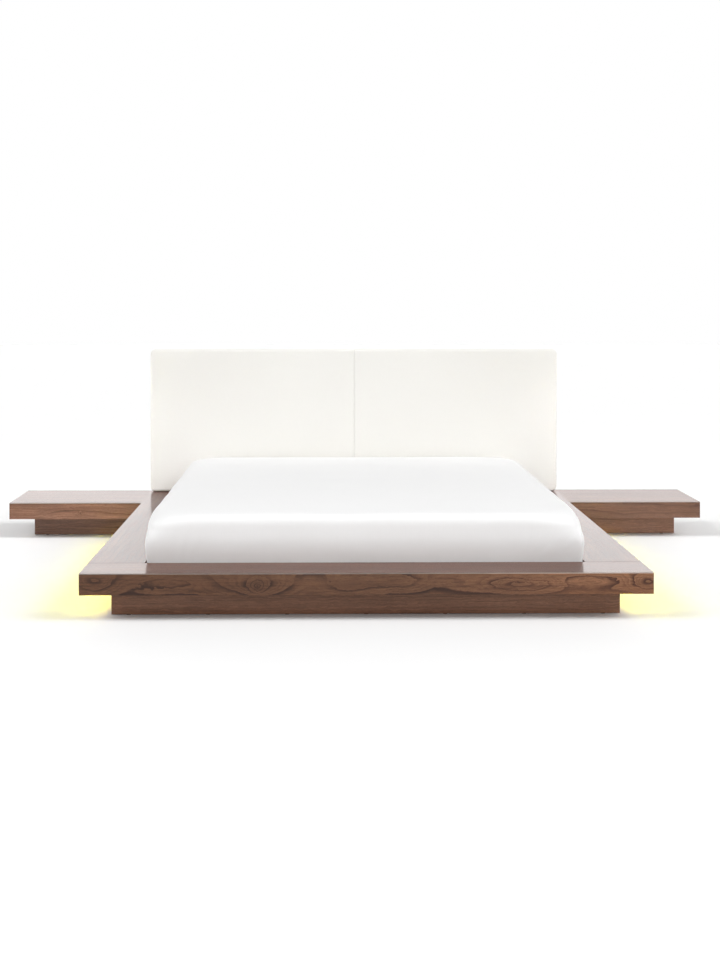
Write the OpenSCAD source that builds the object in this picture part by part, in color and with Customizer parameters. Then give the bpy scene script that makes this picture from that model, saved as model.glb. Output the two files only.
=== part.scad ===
// Low platform bed with an upholstered headboard, two bedside tables that carry
// the platform's top outwards, and light strips hidden under the overhang.
// Millimetres. +Z is up, -Y is the foot end, and the origin is on the floor
// under the middle of the whole bed.

/* [Mattress] */
// Width of the mattress
mattress_w = 1600; // [1200:10:2000]
// Length of the mattress
mattress_l = 2000; // [1800:10:2200]
// Thickness of the mattress at its edge
mattress_h = 233; // [180:1:280]
// Rise of the mattress's top from edge to middle
mattress_crown = 13; // [2:1:30]
// How far the mattress's sides swell past its nominal size
mattress_bulge = 9; // [0:1:14]
// Height above the platform at which the sides swell most
mattress_swell_h = 70; // [45:1:85]
// How far out the sides still are where the top edge starts to turn
mattress_shoulder = 4; // [0:1:9]
// Radius of the mattress's top edge
mattress_top_r = 35; // [20:1:50]
// Radius of the mattress's bottom edge
mattress_bottom_r = 15; // [8:1:30]
// Radius of the mattress's upright corners at the bottom
mattress_corner_r = 22; // [16:1:60]
// Radius of the corners of the mattress's top
mattress_top_corner_r = 185; // [80:5:260]
// Thickness of the mattress's cover
mattress_cover_t = 6; // [3:0.5:10]
// Foam left round the mattress's spring space
foam_wall = 35; // [20:1:60]
// Depth that the mattress sinks into the platform
bay_depth = 57; // [35:1:65]
// Gap between the mattress and the bay on each side
bay_gap = 5; // [3:1:15]

/* [Platform] */
// Height of the platform's top above the floor
platform_h = 166; // [158:1:260]
// Width of each side rail's top
side_rail_w = 205; // [175:1:320]
// Depth of the foot rail's top
foot_rail_w = 215; // [185:1:340]
// Height of the edge boards round the platform
fascia_h = 76; // [60:1:100]
// Thickness of the top boards
top_t = 19; // [16:1:25]
// Thickness of the edge, plinth and bay boards
board_t = 19; // [15:1:22]
// How far the plinth stands back from the edge boards
plinth_recess = 100; // [60:1:115]
// Height of the bay boards' lower edge
bay_board_z = 40; // [10:1:43]

/* [Headboard] */
// Thickness of the headboard
headboard_t = 70; // [62:1:110]
// Height of the headboard above the platform
headboard_h = 710; // [560:5:1000]
// Radius of the headboard's padded edges
headboard_edge_r = 20; // [8:1:28]
// Radius of the headboard's upper corners, seen from the front
headboard_corner_r = 24; // [12:1:60]
// How far the padding is drawn in from its middle to its edges
headboard_crown = 4; // [1:0.5:8]
// How far the sides are drawn in at the back
headboard_draw = 3; // [0:0.5:6]
// Thickness of the headboard's cover
skin_t = 2.5; // [1.5:0.5:4]
// Width of the seam down the middle
seam_w = 5; // [2:0.5:12]
// Depth of the seam down the middle
seam_depth = 3; // [1:0.5:8]
// Thickness of the board behind the padding
backing_t = 18; // [12:1:25]
// Padding wrapped round the backing board's edges
wrap_t = 12; // [8:1:20]
// Thickness of the dust cloth on the back
cloth_t = 1.5; // [1:0.5:3]
// Width of each upright strut
strut_w = 80; // [50:1:120]
// Thickness of each upright strut
strut_t = 22; // [15:1:40]
// Height of the struts' tops above the platform
strut_rise = 486; // [450:1:540]
// Distance of the inner struts from the middle
strut_inner_x = 230; // [150:5:400]
// Distance of the outer struts from the middle
strut_outer_x = 690; // [560:5:780]

/* [Bedside tables] */
// Width of each bedside table
table_w = 620; // [350:5:800]
// Depth of each bedside table
table_d = 465; // [350:5:700]

/* [Slat base] */
// Number of slats in each row
slat_count = 16; // [8:1:20]
// Width of one slat
slat_w = 60; // [35:1:70]
// Thickness of one slat
slat_t = 8; // [6:0.5:8.5]
// Rise of a slat from its ends to its middle
slat_bow = 9; // [4:0.5:12]
// Length of a slat cap
cap_l = 38; // [30:1:50]
// Wall of a slat cap
cap_wall = 4; // [2.5:0.5:5]
// Height of the slot in a slat cap
cap_slot_h = 10.5; // [10.5:0.5:14]
// Width of the ledger under the slats' outer ends
ledger_w = 42; // [38:1:60]
// Height of the ledger
ledger_h = 30; // [20:1:36]
// Width of the beam down the middle
beam_w = 84; // [80:1:120]
// Height of the beam
beam_h = 40; // [30:1:44]
// Sheet thickness of the beam's hangers and the corner brackets
steel_t = 3; // [2:0.5:4]
// Depth of a beam hanger
hanger_d = 36; // [25:1:60]

/* [Feet and fasteners] */
// Radius of a plinth glide
glide_r = 8; // [5:0.5:9]
// Thickness of a plinth glide
glide_t = 2.5; // [1.5:0.5:5]
// Radius of a centre leg
leg_r = 20; // [16:1:30]
// Radius of the spigot that plugs a leg into the beam
spigot_r = 6; // [4:0.5:10]
// Length of that spigot
spigot_l = 22; // [10:1:28]
// Radius of a levelling foot's pad
foot_pad_r = 22; // [15:1:35]
// Thickness of a levelling foot's pad
foot_pad_t = 8; // [5:1:12]
// Radius of a levelling foot's screw
foot_screw_r = 4; // [3:0.5:6]
// Length of a levelling foot's screw above its pad
foot_screw_l = 24; // [16:1:28]
// Radius of the bolts
bolt_r = 4; // [3:0.5:5]
// Radius of a bolt's head
bolt_head_r = 8; // [7:0.5:10]
// Height of a bolt's head
bolt_head_h = 5; // [3:0.5:6]
// Distance of a table's front bolt from the table's front
table_bolt_near = 175; // [145:5:250]
// Distance of a table's rear bolt from the table's back
table_bolt_far = 90; // [40:5:95]
// Height of a corner bracket
bracket_h = 60; // [55:1:90]
// Radius of a wood screw
screw_r = 2; // [1.5:0.25:2.5]
// Length of a wood screw in the wood
screw_l = 14; // [8:1:14]
// Radius of a wood screw's head
screw_head_r = 4; // [3:0.25:5]
// Height of a wood screw's head
screw_head_h = 2; // [1.5:0.25:3]

/* [Lighting] */
// Height of the side light channels' middle above the edge boards' lower edge
side_light_rise = 22; // [12:1:23]
// Width of the light channel
channel_w = 17; // [15:0.5:24]
// Depth of the light channel
channel_h = 9; // [6:0.5:12]
// Wall of the light channel
channel_wall = 1.5; // [1:0.25:2]
// Width of the strip that carries the lamps
strip_w = 10; // [6:0.5:11]
// Thickness of the strip that carries the lamps
strip_t = 1.5; // [1:0.25:2]
// Thickness of the diffuser
diffuser_t = 1.5; // [1:0.25:2]
// Length of the light controller
controller_l = 90; // [60:1:130]
// Depth of the light controller
controller_d = 24; // [16:1:36]
// Height of the light controller
controller_h = 40; // [25:1:42]
// Distance of the power inlet and controller from the middle
inlet_x = 460; // [320:5:560]
// Radius of the power inlet's barrel
inlet_r = 5.5; // [4.5:0.5:8]
// Radius of the power inlet's socket
socket_r = 2.8; // [2.5:0.1:3.5]
// Depth of the power inlet's socket
socket_depth = 10; // [8:1:14]

/* [Hidden] */

// Clearances
touch_gap = 0.3;          // between soft or loose pieces and what they lie beside
bolt_clearance = 0.2;     // round a bolt in its hole
running_clearance = 0.05; // round a levelling foot's screw
bracket_gap = 4;          // between a corner bracket and the bay board behind the headboard
eps = 1;                  // how far a cutting shape runs past what it cuts

// The platform's plan
bay_w = mattress_w + 2*bay_gap;
bay_l = mattress_l + 2*bay_gap;
platform_w = bay_w + 2*side_rail_w;
platform_l = foot_rail_w + bay_l + headboard_t;
overall_d = platform_l + strut_t;
front_y = -overall_d/2;
bay_front_y = front_y + foot_rail_w;
bay_back_y = bay_front_y + bay_l;
back_y = front_y + platform_l;
side_x = platform_w/2;
plinth_x = side_x - plinth_recess;
plinth_front_y = front_y + plinth_recess;
table_front_y = back_y - table_d;
table_plinth_y = table_front_y + plinth_recess;
table_x = side_x + table_w;
table_plinth_x = table_x - plinth_recess;

// Heights
under_top_z = platform_h - top_t;
fascia_z = platform_h - fascia_h;
mattress_z = platform_h - bay_depth;
slat_end_z = mattress_z - touch_gap - slat_bow - slat_t;
cap_z = slat_end_z - cap_wall;
beam_z = cap_z - beam_h;
headboard_top_z = platform_h + headboard_h;

// Slats and what carries them
cap_h = cap_slot_h + 2*cap_wall;
cap_outer_x = bay_w/2 - touch_gap;
cap_middle_gap = 3;
slat_end_gap = 1;
slat_x0 = cap_middle_gap + cap_wall + slat_end_gap;
slat_x1 = cap_outer_x - cap_wall - slat_end_gap;
slat_l = slat_x1 - slat_x0;
slat_bow_r = (slat_l*slat_l/4 + slat_bow*slat_bow)/(2*slat_bow);
slat_segments = 16;
slat_margin = 70;
slat_pitch = (bay_l - 2*slat_margin)/(slat_count - 1);
beam_end_gap = 1;
hanger_flange = 22;
hanger_half_w = beam_w/2 + touch_gap + steel_t;
hanger_screw_x = hanger_half_w + hanger_flange/2;
leg_places = [-0.34, 0, 0.34];
leg_gap = 0.5;
leg_z = foot_pad_t + leg_gap;
foot_bore_l = foot_screw_l + 3;

// Struts, bolts and screws
strut_z = 12;
strut_places = [-strut_outer_x, -strut_inner_x, strut_inner_x, strut_outer_x];
strut_holes_below = [48, 118];
strut_holes_above = [100, 430];
counterbore_gap = 1;
strut_bolt_l = strut_t - bolt_head_h - counterbore_gap + board_t - 2;
table_bolt_places = [table_bolt_near, table_d - table_bolt_far];
table_bolt_z = (fascia_z + under_top_z)/2;
nut_h = 6;
bolt_end = 2;
bracket_leg = headboard_t - 2*board_t - bracket_gap;
bracket_z = 12;
bracket_screw_at = 0.6*bracket_leg;
bracket_screw_z = [bracket_z + 14, bracket_z + bracket_h - 14];

// Gussets and glides
side_gusset_places = [0.08, 0.36, 0.64, 0.92];
foot_gusset_places = [-0.6, 0, 0.6];
glide_inset = 60;

// Lighting
light_end_gap = 40;
side_light_y = plinth_front_y + light_end_gap;
side_light_l = table_front_y - light_end_gap - side_light_y;
side_light_z = fascia_z + side_light_rise;
strut_light_gap = strut_w/2 + 12;
headboard_light_z = platform_h + 34;
headboard_light_spans = [
  [-side_x + light_end_gap, -strut_outer_x - strut_light_gap],
  [-strut_outer_x + strut_light_gap, -strut_inner_x - strut_light_gap],
  [-strut_inner_x + strut_light_gap, 0]
];
controller_rise = 1;
inlet_z = 60;
inlet_flange_r = inlet_r + 3;
inlet_flange_t = 2;

// Forms of the soft pieces
corner_steps = 5;
round_steps = 5;
crown_steps = 5;
headboard_depth = headboard_t - cloth_t;
headboard_crown_reach = 0.4*headboard_h;
headboard_draw_depth = 14;
mattress_top_reach = 0.36*mattress_w;
mattress_swell_z = bay_depth + mattress_swell_h;
mattress_turn_z = mattress_h - mattress_top_r;
mattress_full_h = mattress_h + mattress_crown;

// Colours
walnut = [0.42, 0.29, 0.23];
spruce = [0.80, 0.66, 0.46];
birch = [0.86, 0.74, 0.56];
steel = [0.62, 0.63, 0.65];
black_plastic = [0.10, 0.10, 0.11];
cream_leather = [0.95, 0.93, 0.88];
white_cloth = [0.95, 0.95, 0.95];
foam = [0.93, 0.91, 0.84];
lamp_yellow = [1.00, 0.97, 0.62];

// Shared shapes

// Draws its children as they are, or mirrored to the right-hand side
module on_side(right) {
  if (right)
    mirror([1, 0, 0]) children();
  else
    children();
}

// A box given by its lowest and highest corners
module block(low, high) {
  translate(low) cube(high - low);
}

// A board with its full face up; each edge leans in below it by its own mitre
module mitred_board(size, left = 0, right = 0, near = 0, far = 0) {
  intersection() {
    translate([0, size.y, 0]) rotate([90, 0, 0]) linear_extrude(size.y)
      polygon([[left, 0], [size.x - right, 0], [size.x, size.z], [0, size.z]]);
    rotate([90, 0, 90]) linear_extrude(size.x)
      polygon([[near, 0], [size.y - far, 0], [size.y, size.z], [0, size.z]]);
  }
}

// A mitred board stood up at the front, its full face towards -Y
module front_fascia(x0, x1, y, left, right) {
  translate([x0, y + board_t, fascia_z]) rotate([90, 0, 0])
    mitred_board([x1 - x0, fascia_h, board_t], left = left, right = right, far = top_t);
}

// A mitred board stood up on the left side, its full face towards -X
module left_fascia(x, y0, y1, front) {
  translate([x + board_t, y1, fascia_z]) rotate([90, 0, -90])
    mitred_board([y1 - y0, fascia_h, board_t], right = front, far = top_t);
}

// One outline of a soft form: a rectangle with round corners at height z
function outline(x0, x1, y0, y1, r, z) = [
  for (corner = [0:3]) for (i = [0:corner_steps])
    let (
      a = 90*(corner + i/corner_steps),
      cx = (corner == 0 || corner == 3) ? x1 - r : x0 + r,
      cy = (corner < 2) ? y1 - r : y0 + r
    ) [cx + r*cos(a), cy + r*sin(a), z]
];

function total(values, k = 0) = k < len(values) ? values[k] + total(values, k + 1) : 0*values[0];

// A closed form through a stack of outlines that have as many points each
module loft(outlines) {
  n = len(outlines[0]);
  last = len(outlines) - 1;
  low_centre = n*(last + 1);
  high_centre = low_centre + 1;
  points = concat([for (o = outlines) each o], [total(outlines[0])/n, total(outlines[last])/n]);
  polyhedron(points = points, faces = concat(
    [for (k = [0:last - 1]) for (i = [0:n - 1]) [k*n + i, (k + 1)*n + (i + 1)%n, k*n + (i + 1)%n]],
    [for (k = [0:last - 1]) for (i = [0:n - 1]) [k*n + i, (k + 1)*n + i, (k + 1)*n + (i + 1)%n]],
    [for (i = [0:n - 1]) [low_centre, i, (i + 1)%n]],
    [for (i = [0:n - 1]) [high_centre, last*n + (i + 1)%n, last*n + i]]
  ));
}

// Platform

module foot_rail_top() {
  color(walnut) translate([-side_x, front_y, under_top_z])
    mitred_board([platform_w, foot_rail_w, top_t], left = board_t, right = board_t, near = board_t);
}

module foot_rail_fascia() {
  color(walnut) front_fascia(-side_x, side_x, front_y, board_t, board_t);
}

module foot_rail_end(right) {
  color(walnut) on_side(right) left_fascia(-side_x, front_y, bay_front_y, board_t);
}

module side_rail_top(right) {
  color(walnut) on_side(right) translate([-side_x, bay_front_y, under_top_z])
    mitred_board([side_rail_w, back_y - bay_front_y, top_t], left = board_t);
}

module side_rail_fascia(right) {
  color(walnut) on_side(right) difference() {
    left_fascia(-side_x, bay_front_y, back_y, 0);
    table_bolt_holes();
  }
}

module head_rail_top() {
  color(walnut) block([-bay_w/2, bay_back_y, under_top_z], [bay_w/2, back_y, platform_h]);
}

// The back of the platform: a board as wide as the plinth, and one that closes each overhang
module rear_board() {
  color(walnut) {
    difference() {
      block([-plinth_x, back_y - board_t, glide_t], [plinth_x, back_y, under_top_z]);
      strut_bolt_holes();
      corner_screws();
      translate([-inlet_x, back_y + eps, inlet_z]) rotate([90, 0, 0])
        cylinder(r = inlet_r + bolt_clearance, h = board_t + 2*eps, $fn = 32);
    }
    for (side = [false, true]) on_side(side)
      block([board_t - side_x, back_y - board_t, fascia_z],
            [-plinth_x - touch_gap, back_y, under_top_z]);
  }
}

module plinth_front() {
  color(walnut) difference() {
    block([-plinth_x, plinth_front_y, glide_t], [plinth_x, plinth_front_y + board_t, under_top_z]);
    corner_screws();
  }
}

module plinth_side(right) {
  color(walnut) on_side(right) difference() {
    block([-plinth_x, plinth_front_y + board_t, glide_t],
          [board_t - plinth_x, back_y - board_t, under_top_z]);
    corner_screws();
  }
}

// A board that lines an end of the mattress's bay and runs out to the plinth's sides
module cross_bay_board(y) {
  reach = plinth_x - board_t;
  color(spruce) difference() {
    block([-reach, y, bay_board_z], [reach, y + board_t, under_top_z]);
    hanger_screws();
  }
}

module side_bay_board(right) {
  color(spruce) on_side(right)
    block([-bay_w/2 - board_t, bay_front_y, bay_board_z], [-bay_w/2, bay_back_y, under_top_z]);
}

// Blocks that tie each bay board to the plinth board beside it
module rail_gussets() {
  color(spruce) {
    for (side = [false, true], place = side_gusset_places)
      on_side(side) translate([0, bay_front_y + place*bay_l - board_t/2, 0])
        block([board_t - plinth_x, 0, bay_board_z], [-bay_w/2 - board_t, board_t, under_top_z]);
    for (place = foot_gusset_places) translate([place*plinth_x - board_t/2, 0, 0]) {
      block([0, plinth_front_y + board_t, bay_board_z], [board_t, bay_front_y - board_t, under_top_z]);
      block([0, bay_back_y + board_t, bay_board_z], [board_t, back_y - board_t, under_top_z]);
    }
  }
}

// What the bed stands on

table_glide_x = [side_x + glide_inset, table_plinth_x - glide_inset];
glide_places = concat(
  [for (k = [-3:3]) [k/3*(plinth_x - glide_inset), plinth_front_y + board_t/2]],
  [for (k = [-3:2:3]) [k/3*(plinth_x - glide_inset), back_y - board_t/2]],
  [for (s = [-1, 1], k = [0.25, 0.5, 0.75])
    [s*(plinth_x - board_t/2), plinth_front_y + k*(back_y - plinth_front_y)]],
  [for (s = [-1, 1], x = table_glide_x, y = [table_plinth_y + board_t/2, back_y - board_t/2]) [s*x, y]],
  [for (s = [-1, 1]) [s*(table_plinth_x - board_t/2), (table_plinth_y + back_y)/2]]
);

module plinth_glides() {
  color(black_plastic) for (p = glide_places)
    translate([p.x, p.y, 0]) cylinder(r = glide_r, h = glide_t, $fn = 24);
}

// Places its child at each corner screw, its head's seat at the origin and its point down -Z
module at_corner_screws() {
  near = plinth_front_y + board_t;
  far = back_y - board_t;
  for (side = [false, true], z = bracket_screw_z)
    on_side(side) translate([board_t - plinth_x, 0, z]) {
      for (y = [near + bracket_screw_at, far - bracket_screw_at])
        translate([steel_t, y, 0]) rotate([0, 90, 0]) children();
      translate([bracket_screw_at, near + steel_t, 0]) rotate([-90, 0, 0]) children();
      translate([bracket_screw_at, far - steel_t, 0]) rotate([90, 0, 0]) children();
    }
}

module at_hanger_screws() {
  for (side = [-1, 1]) translate([side*hanger_screw_x, 0, beam_z + beam_h/2]) {
    translate([0, bay_front_y + steel_t, 0]) rotate([-90, 0, 0]) children();
    translate([0, bay_back_y - steel_t, 0]) rotate([90, 0, 0]) children();
  }
}

module screw_shank() {
  translate([0, 0, -steel_t - screw_l]) cylinder(r = screw_r, h = steel_t + screw_l, $fn = 16);
}

module screw() {
  screw_shank();
  cylinder(r = screw_head_r, h = screw_head_h, $fn = 16);
}

module corner_screws() {
  at_corner_screws() screw_shank();
}

module hanger_screws() {
  at_hanger_screws() screw_shank();
}

module frame_screws() {
  color(steel) {
    at_corner_screws() screw();
    at_hanger_screws() screw();
  }
}

module corner_bracket() {
  cube([steel_t, bracket_leg, bracket_h]);
  cube([bracket_leg, steel_t, bracket_h]);
}

module corner_brackets() {
  color(steel) difference() {
    for (side = [false, true]) on_side(side) {
      translate([board_t - plinth_x, plinth_front_y + board_t, bracket_z]) corner_bracket();
      translate([board_t - plinth_x, back_y - board_t, bracket_z]) mirror([0, 1, 0])
        corner_bracket();
    }
    corner_screws();
  }
}

// Slat base

module slat_ledger(right) {
  color(spruce) on_side(right)
    block([-bay_w/2, bay_front_y, cap_z - ledger_h], [ledger_w - bay_w/2, bay_back_y, cap_z]);
}

module at_legs() {
  for (place = leg_places) translate([0, (bay_front_y + bay_back_y)/2 + place*bay_l, 0]) children();
}

module centre_beam() {
  end_gap = steel_t + beam_end_gap;
  color(spruce) difference() {
    block([-beam_w/2, bay_front_y + end_gap, beam_z], [beam_w/2, bay_back_y - end_gap, cap_z]);
    at_legs() translate([0, 0, beam_z - eps])
      cylinder(r = spigot_r + bolt_clearance, h = spigot_l + 2*eps, $fn = 32);
  }
}

// A steel shoe screwed to a bay board, which the beam's end drops into
module beam_hanger() {
  reach = hanger_half_w + hanger_flange;
  translate([0, 0, beam_z - steel_t]) {
    block([-reach, 0, steel_t], [reach, steel_t, beam_h]);
    block([-hanger_half_w, 0, 0], [hanger_half_w, hanger_d, steel_t]);
    for (side = [0, 1]) mirror([side, 0, 0])
      block([hanger_half_w - steel_t, 0, 0], [hanger_half_w, hanger_d, beam_h]);
  }
}

module beam_hangers() {
  color(steel) difference() {
    union() {
      translate([0, bay_front_y, 0]) beam_hanger();
      translate([0, bay_back_y, 0]) mirror([0, 1, 0]) beam_hanger();
    }
    hanger_screws();
  }
}

module centre_legs() {
  color(black_plastic) at_legs() difference() {
    union() {
      translate([0, 0, leg_z]) cylinder(r = leg_r, h = beam_z - leg_z, $fn = 48);
      translate([0, 0, leg_z]) cylinder(r = spigot_r, h = beam_z - leg_z + spigot_l, $fn = 32);
    }
    translate([0, 0, leg_z - eps])
      cylinder(r = foot_screw_r + running_clearance, h = foot_bore_l + eps, $fn = 32);
  }
}

module levelling_foot(place) {
  color(steel) translate([0, (bay_front_y + bay_back_y)/2 + place*bay_l, 0]) {
    cylinder(r = foot_pad_r, h = foot_pad_t, $fn = 48);
    cylinder(r = foot_screw_r, h = foot_pad_t + foot_screw_l, $fn = 32);
  }
}

// Height of a slat's underside above its ends: an arc of one radius
function slat_arc(x) = sqrt(slat_bow_r*slat_bow_r - x*x) - (slat_bow_r - slat_bow);

module slat() {
  xs = [for (i = [0:slat_segments]) -slat_l/2 + slat_l*i/slat_segments];
  translate([0, slat_w/2, 0]) rotate([90, 0, 0]) linear_extrude(slat_w) polygon(concat(
    [for (x = xs) [x, slat_arc(x)]],
    [for (k = [slat_segments:-1:0]) [xs[k], slat_arc(xs[k]) + slat_t]]
  ));
}

module at_slats() {
  for (i = [0:slat_count - 1])
    translate([0, bay_front_y + slat_margin + i*slat_pitch, 0]) children();
}

module slat_row(right) {
  color(birch) on_side(right) at_slats()
    translate([-(slat_x0 + slat_x1)/2, 0, slat_end_z]) slat();
}

// A cap with its closed end at x = 0 and its slot towards +X
module slat_cap() {
  translate([0, -slat_w/2 - cap_wall, 0]) difference() {
    cube([cap_l, slat_w + 2*cap_wall, cap_h]);
    translate([cap_wall, cap_wall - touch_gap, cap_wall])
      cube([cap_l, slat_w + 2*touch_gap, cap_slot_h]);
  }
}

module slat_caps() {
  color(black_plastic) for (side = [false, true]) on_side(side) at_slats() {
    translate([-cap_outer_x, 0, cap_z]) slat_cap();
    translate([-cap_middle_gap, 0, cap_z]) mirror([1, 0, 0]) slat_cap();
  }
}

// Headboard

// The headboard's rings: [inset from its outline, height above its back]
function headboard_rings(skin, back) = let (r = headboard_edge_r - skin) concat(
  [[skin + headboard_draw, back], [skin, headboard_draw_depth]],
  [for (k = [0:round_steps]) let (a = 90*k/round_steps)
    [skin + r*(1 - cos(a)), headboard_depth - headboard_crown - skin - r*(1 - sin(a))]],
  [for (k = [1:crown_steps]) let (u = k/crown_steps)
    [headboard_edge_r + u*headboard_crown_reach, headboard_depth - skin - headboard_crown*(1 - u)*(1 - u)]]
);

// A crowned panel with round edges and one seam, smaller all round by a skin
module headboard_form(skin, back = 0) {
  seam_half_w = seam_w/2 + skin;
  seam_tip_y = bay_back_y + headboard_crown + seam_depth + 2*skin;
  difference() {
    translate([0, bay_back_y + headboard_depth, platform_h + touch_gap]) rotate([90, 0, 0])
      loft([for (ring = headboard_rings(skin, back))
        outline(ring[0] - side_x, side_x - ring[0], ring[0], headboard_h - touch_gap - ring[0],
                max(headboard_corner_r - ring[0], 2), ring[1])]);
    translate([0, 0, platform_h]) linear_extrude(headboard_h + eps)
      polygon([[-seam_half_w, bay_back_y - eps], [seam_half_w, bay_back_y - eps], [0, seam_tip_y]]);
  }
}

// The room that the cover and padding leave for the backing board and back cloth
module backing_space() {
  block([wrap_t - touch_gap - side_x, back_y - cloth_t - backing_t - touch_gap, platform_h - eps],
        [side_x - wrap_t + touch_gap, back_y, headboard_top_z - wrap_t + touch_gap]);
}

module headboard_cover() {
  color(cream_leather) difference() {
    headboard_form(0);
    headboard_form(skin_t, -eps);
    backing_space();
  }
}

module headboard_padding() {
  color(foam) difference() {
    headboard_form(skin_t + touch_gap);
    backing_space();
  }
}

module headboard_backing() {
  color(spruce) difference() {
    block([wrap_t - side_x, back_y - cloth_t - backing_t, platform_h],
          [side_x - wrap_t, back_y - cloth_t, headboard_top_z - wrap_t]);
    strut_bolt_holes();
  }
}

module headboard_back_cloth() {
  color(black_plastic) difference() {
    block([wrap_t - side_x, back_y - cloth_t, platform_h],
          [side_x - wrap_t, back_y, headboard_top_z - wrap_t]);
    strut_bolt_holes();
  }
}

// Places its child at each strut bolt, its head's outer end at the origin and its point down -Z
module at_strut_bolts() {
  for (x = strut_places, z = concat(strut_holes_below, [for (h = strut_holes_above) platform_h + h]))
    translate([x, overall_d/2 - counterbore_gap, z]) rotate([-90, 0, 0]) children();
}

module strut_bolt_holes() {
  deep = strut_t + max(board_t, cloth_t + backing_t);
  head_deep = bolt_head_h + counterbore_gap + eps;
  at_strut_bolts() {
    translate([0, 0, -deep]) cylinder(r = bolt_r + bolt_clearance, h = deep + 2*eps, $fn = 32);
    translate([0, 0, -bolt_head_h]) cylinder(r = bolt_head_r + counterbore_gap, h = head_deep, $fn = 32);
  }
}

module headboard_struts() {
  color(spruce) difference() {
    for (x = strut_places)
      block([x - strut_w/2, back_y, strut_z], [x + strut_w/2, overall_d/2, platform_h + strut_rise]);
    strut_bolt_holes();
  }
}

module strut_bolts() {
  color(steel) at_strut_bolts() {
    translate([0, 0, -bolt_head_h]) cylinder(r = bolt_head_r, h = bolt_head_h, $fn = 32);
    translate([0, 0, -bolt_head_h - strut_bolt_l])
      cylinder(r = bolt_r, h = bolt_head_h + strut_bolt_l, $fn = 32);
  }
}

// Bedside tables, drawn on the left

module table_top(right) {
  color(walnut) on_side(right) translate([-table_x, table_front_y, under_top_z])
    mitred_board([table_w, table_d, top_t], left = board_t, near = board_t);
}

module table_front(right) {
  color(walnut) on_side(right) front_fascia(-table_x, -side_x, table_front_y, board_t, 0);
}

module table_side(right) {
  color(walnut) on_side(right) left_fascia(-table_x, table_front_y, back_y, board_t);
}

// A board as wide as the table's plinth, and one that closes its overhang
module table_back(right) {
  color(walnut) on_side(right) {
    block([-table_plinth_x, back_y - board_t, glide_t], [-side_x - board_t, back_y, under_top_z]);
    block([board_t - table_x, back_y - board_t, fascia_z],
          [-table_plinth_x - touch_gap, back_y, under_top_z]);
  }
}

module table_plinth_front(right) {
  color(walnut) on_side(right)
    block([-table_plinth_x, table_plinth_y, glide_t],
          [-side_x - board_t, table_plinth_y + board_t, under_top_z]);
}

module table_plinth_side(right) {
  color(walnut) on_side(right)
    block([-table_plinth_x, table_plinth_y + board_t, glide_t],
          [board_t - table_plinth_x, back_y - board_t, under_top_z]);
}

// Stands against the bed's side; above the plinth it reaches the front edge board
module table_inner_board(right) {
  color(walnut) on_side(right) difference() {
    union() {
      block([-side_x - board_t, table_plinth_y, glide_t], [-side_x, back_y, under_top_z]);
      block([-side_x - board_t, table_front_y + board_t, fascia_z], [-side_x, back_y, under_top_z]);
    }
    table_bolt_holes();
  }
}

// Places its child at each bolt through the bed's side, its point towards +Z
module at_table_bolts() {
  for (place = table_bolt_places)
    translate([-side_x, table_front_y + place, table_bolt_z]) rotate([0, 90, 0]) children();
}

module table_bolt_holes() {
  at_table_bolts() cylinder(r = bolt_r + bolt_clearance, h = 4*board_t, center = true, $fn = 32);
}

module table_bolts() {
  head_z = -board_t - bolt_head_h;
  color(steel) for (side = [false, true]) on_side(side) at_table_bolts() {
    translate([0, 0, head_z]) cylinder(r = bolt_head_r, h = bolt_head_h, $fn = 32);
    translate([0, 0, head_z]) cylinder(r = bolt_r, h = nut_h + bolt_end + board_t - head_z, $fn = 32);
    translate([0, 0, board_t]) cylinder(r = bolt_head_r, h = nut_h, $fn = 6);
  }
}

// Lighting

// Places its child, a light part along X, on each side of the plinth with its mouth outwards
module side_runs() {
  for (side = [false, true]) on_side(side)
    translate([-plinth_x, side_light_y, side_light_z]) rotate([90, 180, -90]) children();
}

// A channel lying on its back along X, its mouth towards +Z
module channel(length) {
  difference() {
    translate([0, -channel_w/2, 0]) cube([length, channel_w, channel_h]);
    translate([-eps, channel_wall - channel_w/2, channel_wall])
      cube([length + 2*eps, channel_w - 2*channel_wall, channel_h]);
  }
}

module strip(length) {
  translate([0, -strip_w/2, channel_wall]) cube([length, strip_w, strip_t]);
}

module diffuser(length) {
  width = channel_w - 2*channel_wall;
  translate([0, -width/2, channel_h - diffuser_t]) cube([length, width, diffuser_t]);
}

module light_part(shape, length) {
  if (shape == "channel") channel(length);
  if (shape == "strip") strip(length);
  if (shape == "diffuser") diffuser(length);
}

module all_runs(shape) {
  side_runs() light_part(shape, side_light_l);
  for (side = [false, true], span = headboard_light_spans) on_side(side)
    translate([span[0], back_y, headboard_light_z]) rotate([-90, 0, 0])
      light_part(shape, span[1] - span[0]);
}

module led_channels() {
  color(steel) all_runs("channel");
}

module led_strips() {
  color(white_cloth) all_runs("strip");
}

module led_diffusers() {
  color(lamp_yellow) all_runs("diffuser");
}

module led_controller() {
  base_z = bay_board_z + controller_rise;
  color(black_plastic)
    block([-inlet_x - controller_l/2, bay_back_y - controller_d, base_z],
          [-inlet_x + controller_l/2, bay_back_y, base_z + controller_h]);
}

// A round socket through the rear board
module dc_inlet() {
  color(black_plastic) translate([-inlet_x, back_y + inlet_flange_t, inlet_z]) rotate([90, 0, 0])
    difference() {
      union() {
        cylinder(r = inlet_flange_r, h = inlet_flange_t, $fn = 32);
        cylinder(r = inlet_r, h = inlet_flange_t + board_t - 2, $fn = 32);
      }
      translate([0, 0, -eps]) cylinder(r = socket_r, h = socket_depth + eps, $fn = 32);
    }
}

// Mattress

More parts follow.
